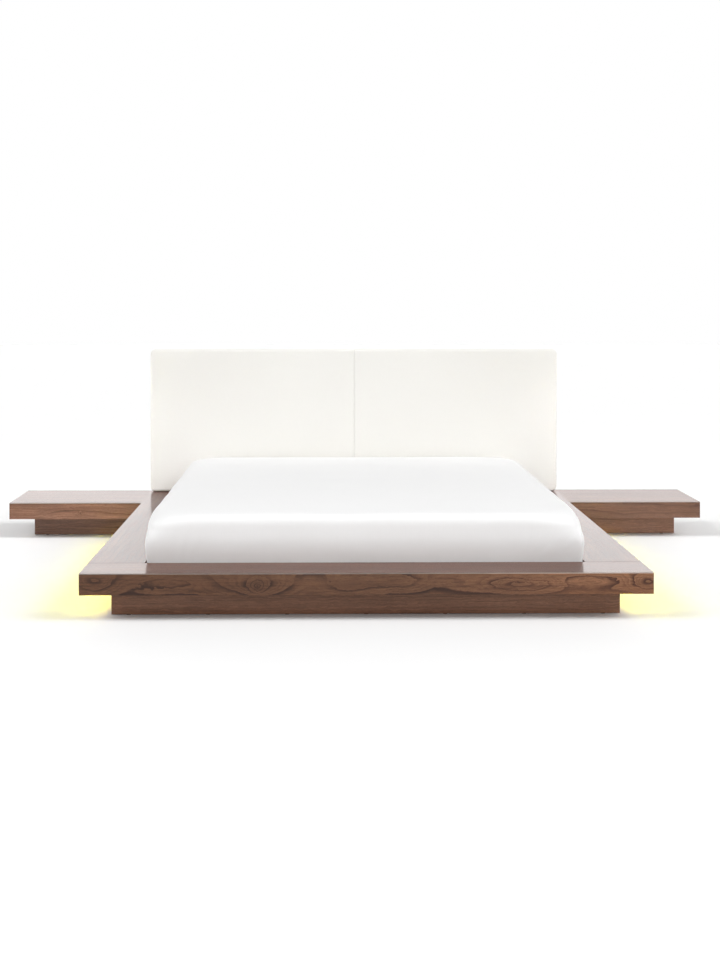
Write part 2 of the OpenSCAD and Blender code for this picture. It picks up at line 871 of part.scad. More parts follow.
// The mattress's rings from its bottom up: [inset from its nominal size, height, corner radius].
// Its sides swell, lean back to the shoulder and turn in, and its top rises to a crown.
function mattress_rings(steps) = let (corner_growth = mattress_top_corner_r - mattress_corner_r) concat(
  [for (k = [0:2]) let (a = 45*k)
    [mattress_bottom_r*(1 - sin(a)), mattress_bottom_r*(1 - cos(a)), mattress_corner_r]],
  [for (k = [0:steps]) let (u = k/steps)
    [-mattress_bulge*sin(90*u), bay_depth + u*mattress_swell_h, mattress_corner_r]],
  [for (k = [1:steps]) let (u = k/steps, s = (1 - cos(180*u))/2)
    [-mattress_bulge + s*(mattress_bulge - mattress_shoulder),
     mattress_swell_z + u*(mattress_turn_z - mattress_swell_z), mattress_corner_r + 0.4*s*corner_growth]],
  [for (k = [1:steps + 1]) let (a = 90*k/(steps + 1))
    [mattress_top_r*(1 - cos(a)) - mattress_shoulder, mattress_turn_z + mattress_top_r*sin(a),
     mattress_corner_r + (0.4 + 0.6*sin(a))*corner_growth]],
  [for (k = [1:steps + 1]) let (u = k/(steps + 1))
    [mattress_top_r - mattress_shoulder + u*mattress_top_reach,
     mattress_h + mattress_crown*(1 - (1 - u)*(1 - u)), mattress_top_corner_r*(1 - u/2)]]
);

// The mattress's form, smaller all round by a skin
module mattress_form(skin, steps) {
  shrink = 1 - 2*skin/mattress_full_h;
  translate([0, (bay_front_y + bay_back_y)/2, mattress_z]) loft([
    for (ring = mattress_rings(steps)) let (inset = ring[0] + skin)
      outline(inset - mattress_w/2, mattress_w/2 - inset,
              inset - mattress_l/2, mattress_l/2 - max(ring[0], 0) - skin,
              ring[2] - skin, skin + ring[1]*shrink)
  ]);
}

module mattress_cover() {
  color(white_cloth) difference() {
    mattress_form(0, 4);
    mattress_form(mattress_cover_t, 2);
  }
}

// A foam case round the space that the springs fill
module mattress_foam() {
  skin = mattress_cover_t + touch_gap;
  wall = skin + foam_wall;
  color(foam) difference() {
    mattress_form(skin, 2);
    block([wall - mattress_w/2, bay_front_y + bay_gap + wall, mattress_z + skin + foam_wall/2],
          [mattress_w/2 - wall, bay_back_y - bay_gap - wall, mattress_z + mattress_h - wall]);
  }
}

foot_rail_top();
foot_rail_fascia();
foot_rail_end(false);  // foot_rail_end_left
foot_rail_end(true);  // foot_rail_end_right
side_rail_top(false);  // left_rail_top
side_rail_fascia(false);  // left_rail_fascia
side_rail_top(true);  // right_rail_top
side_rail_fascia(true);  // right_rail_fascia
head_rail_top();
rear_board();
plinth_front();
plinth_side(false);  // plinth_left
plinth_side(true);  // plinth_right
cross_bay_board(bay_front_y - board_t);  // foot_bay_board
side_bay_board(false);  // left_bay_board
side_bay_board(true);  // right_bay_board
cross_bay_board(bay_back_y);  // head_bay_board
rail_gussets();
plinth_glides();
corner_brackets();
frame_screws();
slat_ledger(false);  // slat_ledger_left
slat_ledger(true);  // slat_ledger_right
centre_beam();
beam_hangers();
centre_legs();
levelling_foot(leg_places[0]);  // levelling_foot_1
levelling_foot(leg_places[1]);  // levelling_foot_2
levelling_foot(leg_places[2]);  // levelling_foot_3
slat_row(false);  // slats_left
slat_row(true);  // slats_right
slat_caps();
headboard_cover();
headboard_padding();
headboard_backing();
headboard_back_cloth();
headboard_struts();
strut_bolts();
table_top(false);  // left_table_top
table_front(false);  // left_table_front
table_side(false);  // left_table_side
table_back(false);  // left_table_back
table_plinth_front(false);  // left_table_plinth_front
table_plinth_side(false);  // left_table_plinth_side
table_inner_board(false);  // left_table_inner_board
table_top(true);  // right_table_top
table_front(true);  // right_table_front
table_side(true);  // right_table_side
table_back(true);  // right_table_back
table_plinth_front(true);  // right_table_plinth_front
table_plinth_side(true);  // right_table_plinth_side
table_inner_board(true);  // right_table_inner_board
table_bolts();
led_channels();
led_strips();
led_diffusers();
led_controller();
dc_inlet();
mattress_cover();
mattress_foam();
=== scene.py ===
"""The looks of a low walnut platform bed with a padded headboard and joined bedside tables.

Metres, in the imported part's own frame: +Z up, the foot end towards -Y, and the origin on the
floor under the middle of the whole bed.
"""

from __future__ import annotations

import logging
import math
from dataclasses import dataclass, replace
from enum import Enum
from functools import cache
import bmesh
import bpy
import numpy as np
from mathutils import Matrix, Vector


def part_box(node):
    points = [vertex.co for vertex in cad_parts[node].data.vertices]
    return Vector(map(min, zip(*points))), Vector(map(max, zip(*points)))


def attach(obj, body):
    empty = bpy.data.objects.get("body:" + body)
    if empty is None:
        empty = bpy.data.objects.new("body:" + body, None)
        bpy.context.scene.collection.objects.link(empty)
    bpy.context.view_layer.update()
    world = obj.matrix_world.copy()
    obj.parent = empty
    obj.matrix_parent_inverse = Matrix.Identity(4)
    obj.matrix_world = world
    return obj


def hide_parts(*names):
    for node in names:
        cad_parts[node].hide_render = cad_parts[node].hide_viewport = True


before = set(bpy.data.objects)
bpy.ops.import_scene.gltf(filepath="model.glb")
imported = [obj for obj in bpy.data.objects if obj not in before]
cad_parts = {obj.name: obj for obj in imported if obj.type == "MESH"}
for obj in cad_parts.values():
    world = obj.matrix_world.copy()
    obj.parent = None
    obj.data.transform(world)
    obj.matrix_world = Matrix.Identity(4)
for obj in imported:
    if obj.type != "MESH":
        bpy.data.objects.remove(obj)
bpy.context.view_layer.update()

Triple = tuple[float, float, float]
Pair = tuple[float, float]
Node = bpy.types.ShaderNode
Tree = bpy.types.NodeTree
Material = bpy.types.Material
Piece = bpy.types.Object
Array = np.ndarray
Value = "Wire | float | tuple[float, ...]"
Inputs = "dict[str | int, Value]"

LOG = logging.getLogger("bed")

# Where the boards stand, in metres
PLATFORM_Z = 0.166
BAY_FRONT_Y = -0.9435

# How far down a board's upper edge is eased, and its painted highlight: the colour that lacquer and light
# give it there
ARRIS = 0.0035
ARRIS_HIGHLIGHT = (0.55, 0.47, 0.42)

# A dressed joint between two boards, whose dark line is partly painted shade, as in a groove: its line's
# half width where it is darkest and where it ends
JOINT_CORE = 0.0016
JOINT_END = 0.0034

# The distance from lamp to lamp on a light strip
LAMP_PITCH = 0.0167

# How the covers of the pads behave while they settle
COVER_FRAMES = 20
COVER_SETTINGS = {
    "quality": 4, "mass": 0.25, "tension_stiffness": 12.0, "compression_stiffness": 12.0,
    "shear_stiffness": 4.0, "bending_stiffness": 0.4, "use_pressure": True,
    "uniform_pressure_force": 4.0,
}


@dataclass(frozen=True)
class Wire:
    """A value that a node gives out. A sign between two numbers adds one node of arithmetic."""

    graph: Graph
    socket: bpy.types.NodeSocket

    def __add__(self, other: Value) -> Wire:
        """Returns the sum."""
        return self.graph.math("ADD", self, other)

    def __sub__(self, other: Value) -> Wire:
        """Returns the difference."""
        return self.graph.math("SUBTRACT", self, other)

    def __rsub__(self, other: float) -> Wire:
        """Returns a number less this."""
        return self.graph.math("SUBTRACT", other, self)

    def __mul__(self, other: Value) -> Wire:
        """Returns the product."""
        return self.graph.math("MULTIPLY", self, other)

    def __truediv__(self, other: Value) -> Wire:
        """Returns the quotient."""
        return self.graph.math("DIVIDE", self, other)

    def __rtruediv__(self, other: float) -> Wire:
        """Returns a number over this."""
        return self.graph.math("DIVIDE", other, self)


@dataclass(frozen=True)
class Graph:
    """Writes nodes and links into one shader node tree."""

    tree: Tree

    def fill(self, node: Node, inputs: Inputs) -> None:
        """Links or sets some of a node's inputs.

        Args:
            node: The node.
            inputs: A wire to link, or a number, vector or colour to set, by name or number.
        """
        for key, value in inputs.items():
            socket = node.inputs[key]
            if isinstance(value, Wire):
                self.tree.links.new(value.socket, socket)
            elif socket.type == "RGBA":
                socket.default_value = (*value[:3], 1.0)
            else:
                socket.default_value = value

    def add(self, kind: str, inputs: Inputs | None = None, **settings: object) -> Node:
        """Adds one node.

        Args:
            kind: Blender's name of the node's type.
            inputs: What goes into its inputs, by name or number.
            **settings: The node's own properties.

        Returns:
            The node.
        """
        node = self.tree.nodes.new(kind)
        for name, value in settings.items():
            setattr(node, name, value)
        self.fill(node, inputs or {})
        return node

    def wire(self, kind: str, inputs: Inputs | None = None, output: str | int = 0,
             **settings: object) -> Wire:
        """Adds one node as add does, and returns one of its outputs."""
        return Wire(self, self.add(kind, inputs, **settings).outputs[output])

    def math(self, operation: str, a: Value, b: Value = 0.0, clamp: bool = False) -> Wire:
        """Does one step of arithmetic under Blender's name, held between 0 and 1 on request."""
        return self.wire("ShaderNodeMath", {0: a, 1: b}, operation=operation, use_clamp=clamp)

    def vector(self, operation: str, a: Value, b: Value = (0.0, 0.0, 0.0)) -> Wire:
        """Does one step of vector arithmetic under Blender's name."""
        return self.wire("ShaderNodeVectorMath", {0: a, 1: b}, operation=operation)

    def scaled(self, vector: Value, factor: Value) -> Wire:
        """Returns a vector or colour times a number."""
        return self.wire("ShaderNodeVectorMath", {0: vector, "Scale": factor}, operation="SCALE")

    def split(self, vector: Value) -> tuple[Wire, ...]:
        """Returns the three parts of a vector."""
        return tuple(Wire(self, part) for part in self.add("ShaderNodeSeparateXYZ", {0: vector}).outputs)

    def join(self, x: Value, y: Value, z: Value = 0.0) -> Wire:
        """Returns a vector made of three parts."""
        return self.wire("ShaderNodeCombineXYZ", {0: x, 1: y, 2: z})

    def step(self, value: Value, low: float, high: float, out: Pair = (0.0, 1.0)) -> Wire:
        """Turns smoothly from out's first number where the value is low to its second where it is high."""
        inputs = {"Value": value, "From Min": low, "From Max": high, "To Min": out[0], "To Max": out[1]}
        return self.wire("ShaderNodeMapRange", inputs, interpolation_type="SMOOTHSTEP")

    def blend(self, share: Value, a: Value, b: Value) -> Wire:
        """Mixes two colours, by the share of the second."""
        return self.wire("ShaderNodeMix", {0: share, 6: a, 7: b}, 2, data_type="RGBA")

    def noise(self, vector: Value, stretch: Triple, detail: float = 1.0) -> Wire:
        """Reads smooth noise, 0 to 1, with so many waves per metre along each axis."""
        place = self.vector("MULTIPLY", vector, stretch)
        return self.wire("ShaderNodeTexNoise", {"Vector": place, "Scale": 1.0, "Detail": detail}, "Fac")

    def group(self, tree: Tree, inputs: dict[str, Value]) -> dict[str, Wire]:
        """Places a node group and returns its outputs by name."""
        outputs = self.add("ShaderNodeGroup", inputs, node_tree=tree).outputs
        return {socket.name: Wire(self, socket) for socket in outputs}

    def point(self) -> Wire:
        """Returns the shaded point in the piece's own space."""
        return self.wire("ShaderNodeTexCoord", output="Object")

    def deliver(self, **outputs: Wire) -> Tree:
        """Gives a group named outputs, each of its wire's own kind, and returns the group."""
        kinds = {"VALUE": "Float", "VECTOR": "Vector", "RGBA": "Color"}
        for name, wire in outputs.items():
            kind = "NodeSocket" + kinds[wire.socket.type]
            self.tree.interface.new_socket(name, in_out="OUTPUT", socket_type=kind)
        self.add("NodeGroupOutput", outputs)
        return self.tree


def new_group(name: str, inputs: dict[str, float | tuple[float, ...]]) -> tuple[Graph, dict[str, Wire]]:
    """Starts a shader node group with named inputs.

    Args:
        name: The group's name.
        inputs: Each input's default: a number, a vector of 3 or a colour of 4.

    Returns:
        The graph to write in, and the inputs by name.
    """
    tree = bpy.data.node_groups.new(name, "ShaderNodeTree")
    for label, default in inputs.items():
        kind = {1: "Float", 3: "Vector", 4: "Color"}[np.size(default)]
        socket = tree.interface.new_socket(label, in_out="INPUT", socket_type="NodeSocket" + kind)
        socket.default_value = default
    graph = Graph(tree)
    source = graph.add("NodeGroupInput")
    return graph, {label: Wire(graph, source.outputs[label]) for label in inputs}


@cache
def wood_figure() -> Tree:
    """Makes the group that draws a board's figure.

    The growth lines are the level lines of one slow field: stretched noise where the board is
    figured, and the distance across the grain where it is straight, both swayed by finer noise.
    Each line darkens slowly and ends sharply, and four fine ones lie between two of them. Broad
    patches, smoky bands, streaks, fibres and pores are noise stretched ever more along the grain.
    """
    g, source = new_group("Wood figure", {
        "Vector": (0.0, 0.0, 0.0), "Straightness": 0.5, "Lines": 8.0, "Knots": 0.0,
        "Line Strength": 0.7, "Pore Strength": 0.5, "Dark": (0.05, 0.03, 0.02, 1.0),
        "Middle": (0.12, 0.06, 0.04, 1.0), "Light": (0.2, 0.12, 0.08, 1.0),
    })
    sway = (g.noise(source["Vector"], (18.0, 30.0, 30.0), 3.5) - 0.5) * 0.018
    place = g.vector("ADD", source["Vector"], g.join(0.0, sway, sway))
    drift = (g.noise(place, (1.7, 8.0, 8.0)) - 0.5) * 0.035
    straight = (g.split(place)[1] + drift) * 6.0
    wild = g.noise(place, (3.0, 10.0, 10.0), 0.8)
    field = straight * source["Straightness"] + wild * (1.0 - source["Straightness"])
    count = field * source["Lines"] + source["Knots"]
    saw = g.math("FRACT", count)
    ring = g.step(saw, 0.60, 0.94) * g.step(saw, 0.945, 1.0, (1.0, 0.0))
    fine_saw = g.math("FRACT", count * 4.0)
    fine_ring = g.step(fine_saw, 0.3, 0.85) * g.step(fine_saw, 0.88, 1.0, (1.0, 0.0))
    strength = g.step(g.noise(place, (2.4, 16.0, 16.0)), 0.34, 0.6, (0.3, 1.0)) * source["Line Strength"]
    line = g.math("MAXIMUM", ring, fine_ring * 0.35) * strength
    patch = g.step(g.noise(place, (1.3, 9.0, 9.0), 3.0), 0.32, 0.68)
    elsewhere = g.vector("ADD", place, (4.0, 2.0, 7.0))
    smoke = g.step(g.noise(elsewhere, (2.0, 38.0, 38.0), 3.0), 0.52, 0.72)
    streak = g.noise(place, (5.0, 190.0, 190.0), 4.0)
    fibre = g.noise(place, (40.0, 900.0, 900.0), 2.0)
    pore = g.step(g.noise(place, (60.0, 1200.0, 1200.0), 0.0), 0.58, 0.72)
    colour = g.blend(patch, source["Middle"], source["Light"])
    colour = g.blend(smoke * (source["Line Strength"] * 0.5), colour, source["Dark"])
    colour = g.blend(line, colour, source["Dark"])
    tint = g.step(streak, 0.28, 0.72, (0.74, 1.14)) + g.step(fibre, 0.3, 0.7, (-0.10, 0.14))
    colour = g.blend(pore * source["Pore Strength"], g.scaled(colour, tint), source["Dark"])
    return g.deliver(Color=colour, Height=fibre * 0.25 - pore * 0.8, Gloss=streak * 0.6 + pore * 0.4)


@cache
def knot_eye() -> Tree:
    """Makes the group that bends a board's lines round one knot.

    The field rises as a bell over the knot, stretched along the grain, so the level lines close
    round it, and the core is where the bell is highest.
    """
    g, source = new_group("Knot eye", {
        "Vector": (0.0, 0.0, 0.0), "Centre": (0.0, 0.0, 0.0), "Size": 0.02, "Rise": 2.0, "Stretch": 2.0,
        "Core Size": 0.3,
    })
    uneven = (g.noise(source["Vector"], (40.0, 60.0, 0.0), 3.0) - 0.5) * 0.014
    away = g.vector("SUBTRACT", source["Vector"], source["Centre"])
    away = g.vector("MULTIPLY", away, g.join(1.0 / source["Stretch"], 1.0))
    away = g.vector("ADD", away, g.join(uneven, uneven))
    ratio = g.wire("ShaderNodeVectorMath", {0: away}, "Value", operation="LENGTH") / source["Size"]
    bell = g.math("EXPONENT", ratio * ratio * -1.0)
    core = g.step(ratio - source["Core Size"], -0.2, 0.0, (0.85, 0.0))
    return g.deliver(Field=bell * source["Rise"], Core=core)


@cache
def eased_arris() -> Tree:
    """Makes the group that rounds a board's upper edge in its shading.

    Within the radius below the top, the normal turns up: its upward part is one minus the
    fourth power of the share of the radius.
    """
    g, source = new_group("Eased arris", {
        "Position": (0.0, 0.0, 0.0), "Normal": (0.0, 0.0, 1.0), "Top": PLATFORM_Z, "Radius": ARRIS,
    })
    below = (source["Top"] - g.split(source["Position"])[2]) / source["Radius"]
    rise = g.math("SUBTRACT", 1.0, g.math("POWER", below, 4.0), clamp=True)
    level = g.math("SQRT", g.math("SUBTRACT", 1.0, rise * rise, clamp=True))
    turned = g.vector("ADD", g.scaled(source["Normal"], level), g.join(0.0, 0.0, rise))
    return g.deliver(Normal=g.vector("NORMALIZE", turned), Mask=rise)


@cache
def handling() -> Tree:
    """Makes the group that varies a surface's gloss and shade as handling and dust do.

    Two noises, one broad and one fine, move the roughness between its limits, and the broad
    one moves the shade a little below 1.
    """
    g, source = new_group("Handling", {
        "Vector": (0.0, 0.0, 0.0), "Scale": 12.0, "Low": 0.3, "High": 0.5, "Shade Depth": 0.06,
    })
    place = g.scaled(source["Vector"], source["Scale"])
    broad = g.noise(place, (1.0, 1.0, 1.0), 3.0)
    mixed = broad * 0.7 + g.noise(place, (14.0, 14.0, 14.0), 2.0) * 0.3
    roughness = mixed * (source["High"] - source["Low"]) + source["Low"]
    return g.deliver(Roughness=roughness, Shade=1.0 - broad * source["Shade Depth"])


@cache
def plain_weave() -> Tree:
    """Makes the group that draws a plain weave.

    Two sets of threads cross: the relief is the size of the product of two sines, one along
    each, and noise along the threads makes a few of them thicker.
    """
    g, source = new_group("Plain weave", {"Vector": (0.0, 0.0, 0.0), "Pitch": 0.0008, "Slub": 0.5})
    u, v, _ = g.split(source["Vector"])
    turn = math.pi / source["Pitch"]
    cross = g.math("ABSOLUTE", g.math("SINE", u * turn) * g.math("SINE", v * turn))
    warp_slub = g.noise(source["Vector"], (9.0, 420.0, 1.0)) * source["Slub"]
    slub = warp_slub + g.noise(source["Vector"], (420.0, 9.0, 1.0)) * source["Slub"]
    return g.deliver(Height=cross + slub, Shade=g.step(slub, 0.2, 0.9, (0.975, 1.0)))


@cache
def pebble_grain() -> Tree:
    """Makes the group that draws coated leather's pebbles.

    Cells of a Voronoi pattern are the pebbles, their borders the creases between, and broad
    noise makes the pebbles flatter in places where the hide is stretched.
    """
    g, source = new_group("Pebble grain", {"Vector": (0.0, 0.0, 0.0), "Pebbles": 700.0})
    warp = g.noise(source["Vector"], (60.0, 60.0, 60.0))
    place = g.vector("ADD", source["Vector"], g.scaled(g.join(warp, warp, warp), 0.002))
    border = g.wire("ShaderNodeTexVoronoi", {"Vector": place, "Scale": source["Pebbles"]}, "Distance",
                    feature="DISTANCE_TO_EDGE")
    pebble = g.step(border, 0.0, 0.22)
    soft = g.step(g.noise(source["Vector"], (7.0, 7.0, 7.0), 2.0), 0.3, 0.75, (0.45, 1.0))
    return g.deliver(Height=pebble * soft, Shade=g.step(pebble, 0.0, 1.0, (0.965, 1.0)))


class Grain(Enum):
    """Which way a board's grain runs and which way its face looks: its axes along, across and through."""

    ALONG_X_FACE_UP = (0, 1, 2)
    ALONG_X_FACE_ON = (0, 2, 1)
    ALONG_Y_FACE_UP = (1, 0, 2)
    ALONG_Y_FACE_OUT = (1, 2, 0)
    ALONG_Z_FACE_ON = (2, 0, 1)


def bumped(g: Graph, height: Wire, distance: float, **under: Wire) -> Wire:
    """Returns the normal of a relief in which 1 stands for the distance, over another Normal if given."""
    inputs = {"Height": height, "Distance": distance, "Strength": 1.0, **under}
    return g.wire("ShaderNodeBump", inputs, "Normal")


def marked(g: Graph, place: Wire, colour: Value, scale: float, roughness: Pair, depth: float) -> Inputs:
    """Returns a colour and roughness with so many marks of handling per metre, of that depth."""
    marks = g.group(handling(), {"Vector": place, "Scale": scale, "Low": roughness[0],
                                 "High": roughness[1], "Shade Depth": depth})
    return {"Base Color": g.scaled(colour, marks["Shade"]), "Roughness": marks["Roughness"]}


@dataclass(frozen=True)
class Finish:
    """A finish by its name. Each kind says what goes into the inputs of its Principled BSDF."""

    name: str

    def inputs(self, g: Graph) -> Inputs:
        """Returns what goes into the shader, written into its graph."""
        raise NotImplementedError

    def material(self) -> Material:
        """Returns the finish's material."""
        material = bpy.data.materials.new(self.name)
        material.use_nodes = True
        material.node_tree.nodes.clear()
        g = Graph(material.node_tree)
        g.add("ShaderNodeOutputMaterial", {"Surface": g.wire("ShaderNodeBsdfPrincipled", self.inputs(g))})
        return material


@dataclass(frozen=True)
class Knot:
    """One knot on a board's face: its place along and across the grain, its size and its shape."""

    along: float
    across: float
    size: float
    rise: float = 2.5
    stretch: float = 2.0
    core: float = 0.0


@dataclass(frozen=True)
class Timber(Finish):
    """A board: its figure, its colours and its lacquer or planed surface."""

    grain: Grain = Grain.ALONG_X_FACE_ON
    dark: Triple = (0.040, 0.014, 0.006)
    middle: Triple = (0.096, 0.039, 0.019)
    light: Triple = (0.150, 0.068, 0.036)
    straightness: float = 0.5
    lines: float = 8.0
    line_strength: float = 0.75
    pore_strength: float = 0.4
    seed: float = 0.0
    knots: tuple[Knot, ...] = ()
    roughness: Pair = (0.40, 0.55)
    lacquer: float = 0.58
    lacquer_roughness: float = 0.13
    thinnest_lacquer: float = 0.76
    relief: float = 0.00006
    arris: float = 0.0
    # How far the eased edge's colour goes towards the painted highlight
    arris_highlight: float = 0.75
    joint_y: float | None = None
    # How much lighter a board is painted towards its right end, standing in for more light falling there
    lighter: float = 0.0

    def board(self, name: str, grain: Grain, seed: float, **changes: object) -> Timber:
        """Returns this timber as one board with its own name, grain and seed."""
        return replace(self, name=f"{self.name} {name}", grain=grain, seed=seed, **changes)

    def warmed(self, share: float) -> Timber:
        """Returns this timber with its three tones times a share."""
        tones = {tone: tuple(share * c for c in getattr(self, tone)) for tone in ("dark", "middle", "light")}
        return replace(self, **tones)

    def knotted(self, g: Graph, board: Wire) -> tuple[Value, Value]:
        """Adds up the knots.

        Args:
            g: The material's graph.
            board: The shaded point along, across and through the board.

        Returns:
            What the knots add to the lines' field, and where their cores are.
        """
        field: Value = 0.0
        core: Value = 0.0
        for knot in self.knots:
            eye = g.group(knot_eye(), {"Vector": board, "Centre": (knot.along, knot.across, 0.0),
                                       "Size": knot.size, "Rise": knot.rise, "Stretch": knot.stretch,
                                       "Core Size": knot.core})
            field = eye["Field"] + field
            core = g.math("MAXIMUM", eye["Core"], core)
        return field, core

    def inputs(self, g: Graph) -> Inputs:
        """Returns what goes into the board's shader."""
        point = g.point()
        parts = g.split(point)
        board = g.join(*(parts[axis] for axis in self.grain.value))
        field, core = self.knotted(g, board)
        figure = g.group(wood_figure(), {
            "Vector": g.vector("ADD", board, (self.seed, 0.37 * self.seed, 0.61 * self.seed)),
            "Straightness": self.straightness, "Lines": self.lines, "Knots": field,
            "Line Strength": self.line_strength, "Pore Strength": self.pore_strength,
            "Dark": self.dark, "Middle": self.middle, "Light": self.light,
        })
        colour = g.blend(core, figure["Color"], self.dark) if self.knots else figure["Color"]
        under = {}
        if self.arris:
            face = g.wire("ShaderNodeNewGeometry", output="Normal")
            edge = g.group(eased_arris(), {"Position": point, "Normal": face, "Top": PLATFORM_Z,
                                           "Radius": self.arris})
            under = {"Normal": edge["Normal"]}
            # Painted highlight: the eased edge is mixed towards a pale colour, as the lit arris would shine
            colour = g.blend(edge["Mask"] * self.arris_highlight, colour, ARRIS_HIGHLIGHT)
        # Painted light: the colour grows lighter along the grain from 0.1 m to 0.9 m, standing in for
        # stronger light on the right
        if self.lighter:
            colour = g.scaled(colour, g.step(g.split(board)[0], 0.1, 0.9, (1.0, 1.0 + self.lighter)))
        coat = g.step(figure["Gloss"], 0.2, 0.8, (self.thinnest_lacquer * self.lacquer, self.lacquer))
        rough = g.step(figure["Gloss"], 0.1, 0.9, self.roughness)
        # Partly painted shade: the joint line darkens as the shade in a groove would; the dulled lacquer
        # there is the joint's own
        if self.joint_y is not None:
            gap = g.math("ABSOLUTE", parts[1] - self.joint_y)
            joint = g.step(gap, JOINT_CORE, JOINT_END, (1.0, 0.0))
            colour = g.blend(joint, colour, self.dark)
            coat = (1.0 - joint) * coat
            rough = g.math("MAXIMUM", rough, joint)
        inputs = {"Base Color": colour, "Roughness": rough,
                  "Normal": bumped(g, figure["Height"], self.relief, **under)}
        if self.lacquer:
            inputs |= {"Coat Weight": coat, "Coat Roughness": self.lacquer_roughness, "Coat IOR": 1.4,
                       "Specular IOR Level": 0.15}
        return inputs


@dataclass(frozen=True)
class Metal(Finish):
    """Plated or anodised metal with fine drawn lines along one axis."""

    colour: Triple
    roughness: Pair = (0.25, 0.42)
    drawn: Triple = (20.0, 900.0, 900.0)

    def inputs(self, g: Graph) -> Inputs:
        """Returns what goes into the metal's shader."""
        point = g.point()
        return {**marked(g, point, self.colour, 25.0, self.roughness, 0.12), "Metallic": 1.0,
                "Normal": bumped(g, g.noise(point, self.drawn), 0.00003)}


@dataclass(frozen=True)
class Moulding(Finish):
    """A moulded plastic with a fine spark-eroded texture."""

    colour: Triple
    roughness: Pair = (0.42, 0.6)
    eroded: Triple = (1600.0, 1600.0, 1600.0)

    def inputs(self, g: Graph) -> Inputs:
        """Returns what goes into the plastic's shader."""
        point = g.point()
        return {**marked(g, point, self.colour, 30.0, self.roughness, 0.15),
                "Normal": bumped(g, g.noise(point, self.eroded), 0.00004)}


@dataclass(frozen=True)
class CoatedLeather(Finish):
    """Smooth coated upholstery leather, finely pebbled."""

    colour: Triple
    roughness: Pair = (0.40, 0.52)
    pebbles: float = 650.0

    def inputs(self, g: Graph) -> Inputs:
        """Returns what goes into the leather's shader."""
        point = g.point()
        grain = g.group(pebble_grain(), {"Vector": point, "Pebbles": self.pebbles})
        colour = g.scaled(self.colour, grain["Shade"])
        return {**marked(g, point, colour, 4.0, self.roughness, 0.012), "Specular IOR Level": 0.4,
                "Normal": bumped(g, grain["Height"], 0.00012)}


@dataclass(frozen=True)
class Cloth(Finish):
    """A woven cloth, read on the piece's own map in metres."""

    colour: Triple
    pitch: float
    relief: float = 0.0001
    sheen: float = 0.15
    slub: float = 0.5
    roughness: Pair = (0.82, 0.95)

    def inputs(self, g: Graph) -> Inputs:
        """Returns what goes into the cloth's shader."""
        place = g.wire("ShaderNodeUVMap", output="UV", uv_map="Flat")
        weave = g.group(plain_weave(), {"Vector": place, "Pitch": self.pitch, "Slub": self.slub})
        colour = g.scaled(self.colour, weave["Shade"])
        return {**marked(g, place, colour, 3.0, self.roughness, 0.015), "Specular IOR Level": 0.2,
                "Sheen Weight": self.sheen, "Normal": bumped(g, weave["Height"], self.relief)}


@dataclass(frozen=True)
class Lamp(Finish):
    """A frosted cover lit from behind, with the lamps' spacing just showing."""

    colour: Triple
    glow: Triple
    strength: float

    def inputs(self, g: Graph) -> Inputs:
        """Returns what goes into the cover's shader."""
        x, y, _ = g.split(g.point())
        wave = g.math("COSINE", (x + y) * (2 * math.pi / LAMP_PITCH))
        return {
            "Base Color": g.scaled(self.colour, g.step(wave, -1.0, 1.0, (0.9, 1.0))), "Roughness": 0.5,
            "Emission Color": g.scaled(self.glow, g.step(wave, -1.0, 1.0, (0.85, 1.0))),
            "Emission Strength": self.strength,
        }


@dataclass(frozen=True)
class Ground(Finish):
    """A matt pale floor."""

    colour: Triple

    def inputs(self, g: Graph) -> Inputs:
        """Returns what goes into the floor's shader."""
        return {**marked(g, g.point(), self.colour, 1.5, (0.6, 0.8), 0.01), "Specular IOR Level": 0.1}


# Finishes that several boards or sub-assemblies share
WALNUT = Timber("Walnut")
TOP = replace(WALNUT, dark=(0.050, 0.016, 0.008), middle=(0.118, 0.042, 0.022), light=(0.165, 0.070, 0.040),
              lacquer=0.40, straightness=0.8, lines=9.0, line_strength=0.45)
TABLE_EDGE = replace(WALNUT, dark=(0.075, 0.030, 0.015), middle=(0.200, 0.092, 0.052),
                     light=(0.290, 0.142, 0.084), straightness=0.7, lines=6.0, line_strength=0.6)
PLINTH = replace(WALNUT, dark=(0.105, 0.042, 0.021), middle=(0.215, 0.100, 0.056),
                 light=(0.265, 0.132, 0.078), straightness=0.85, lines=17.0, line_strength=0.6)
SPRUCE = Timber("Spruce", dark=(0.50, 0.30, 0.13), middle=(0.66, 0.46, 0.25), light=(0.74, 0.56, 0.34),
                lacquer=0.0, roughness=(0.6, 0.75), straightness=0.8, lines=16.0, line_strength=0.55,
                pore_strength=0.1)
BIRCH = Timber("Birch", dark=(0.58, 0.42, 0.25), middle=(0.74, 0.59, 0.40), light=(0.80, 0.67, 0.48),
               lacquer=0.3, lacquer_roughness=0.3, roughness=(0.5, 0.62), straightness=0.6, lines=6.0,
               line_strength=0.3, pore_strength=0.2)
PLATED_STEEL = Metal("Plated steel", (0.60, 0.60, 0.59))
BLACK_MOULDING = Moulding("Black moulding", (0.020, 0.020, 0.022))


def dress(finish: Finish, *nodes: str) -> list[Piece]:
    """Gives CAD nodes one finish.

    Args:
        finish: The finish.
        *nodes: The nodes' names.

    Returns:
        The nodes' objects.
    """
    material = finish.material()
    dressed = [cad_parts[name] for name in nodes]
    for piece in dressed:
        piece.data.materials.clear()
        piece.data.materials.append(material)
    return dressed


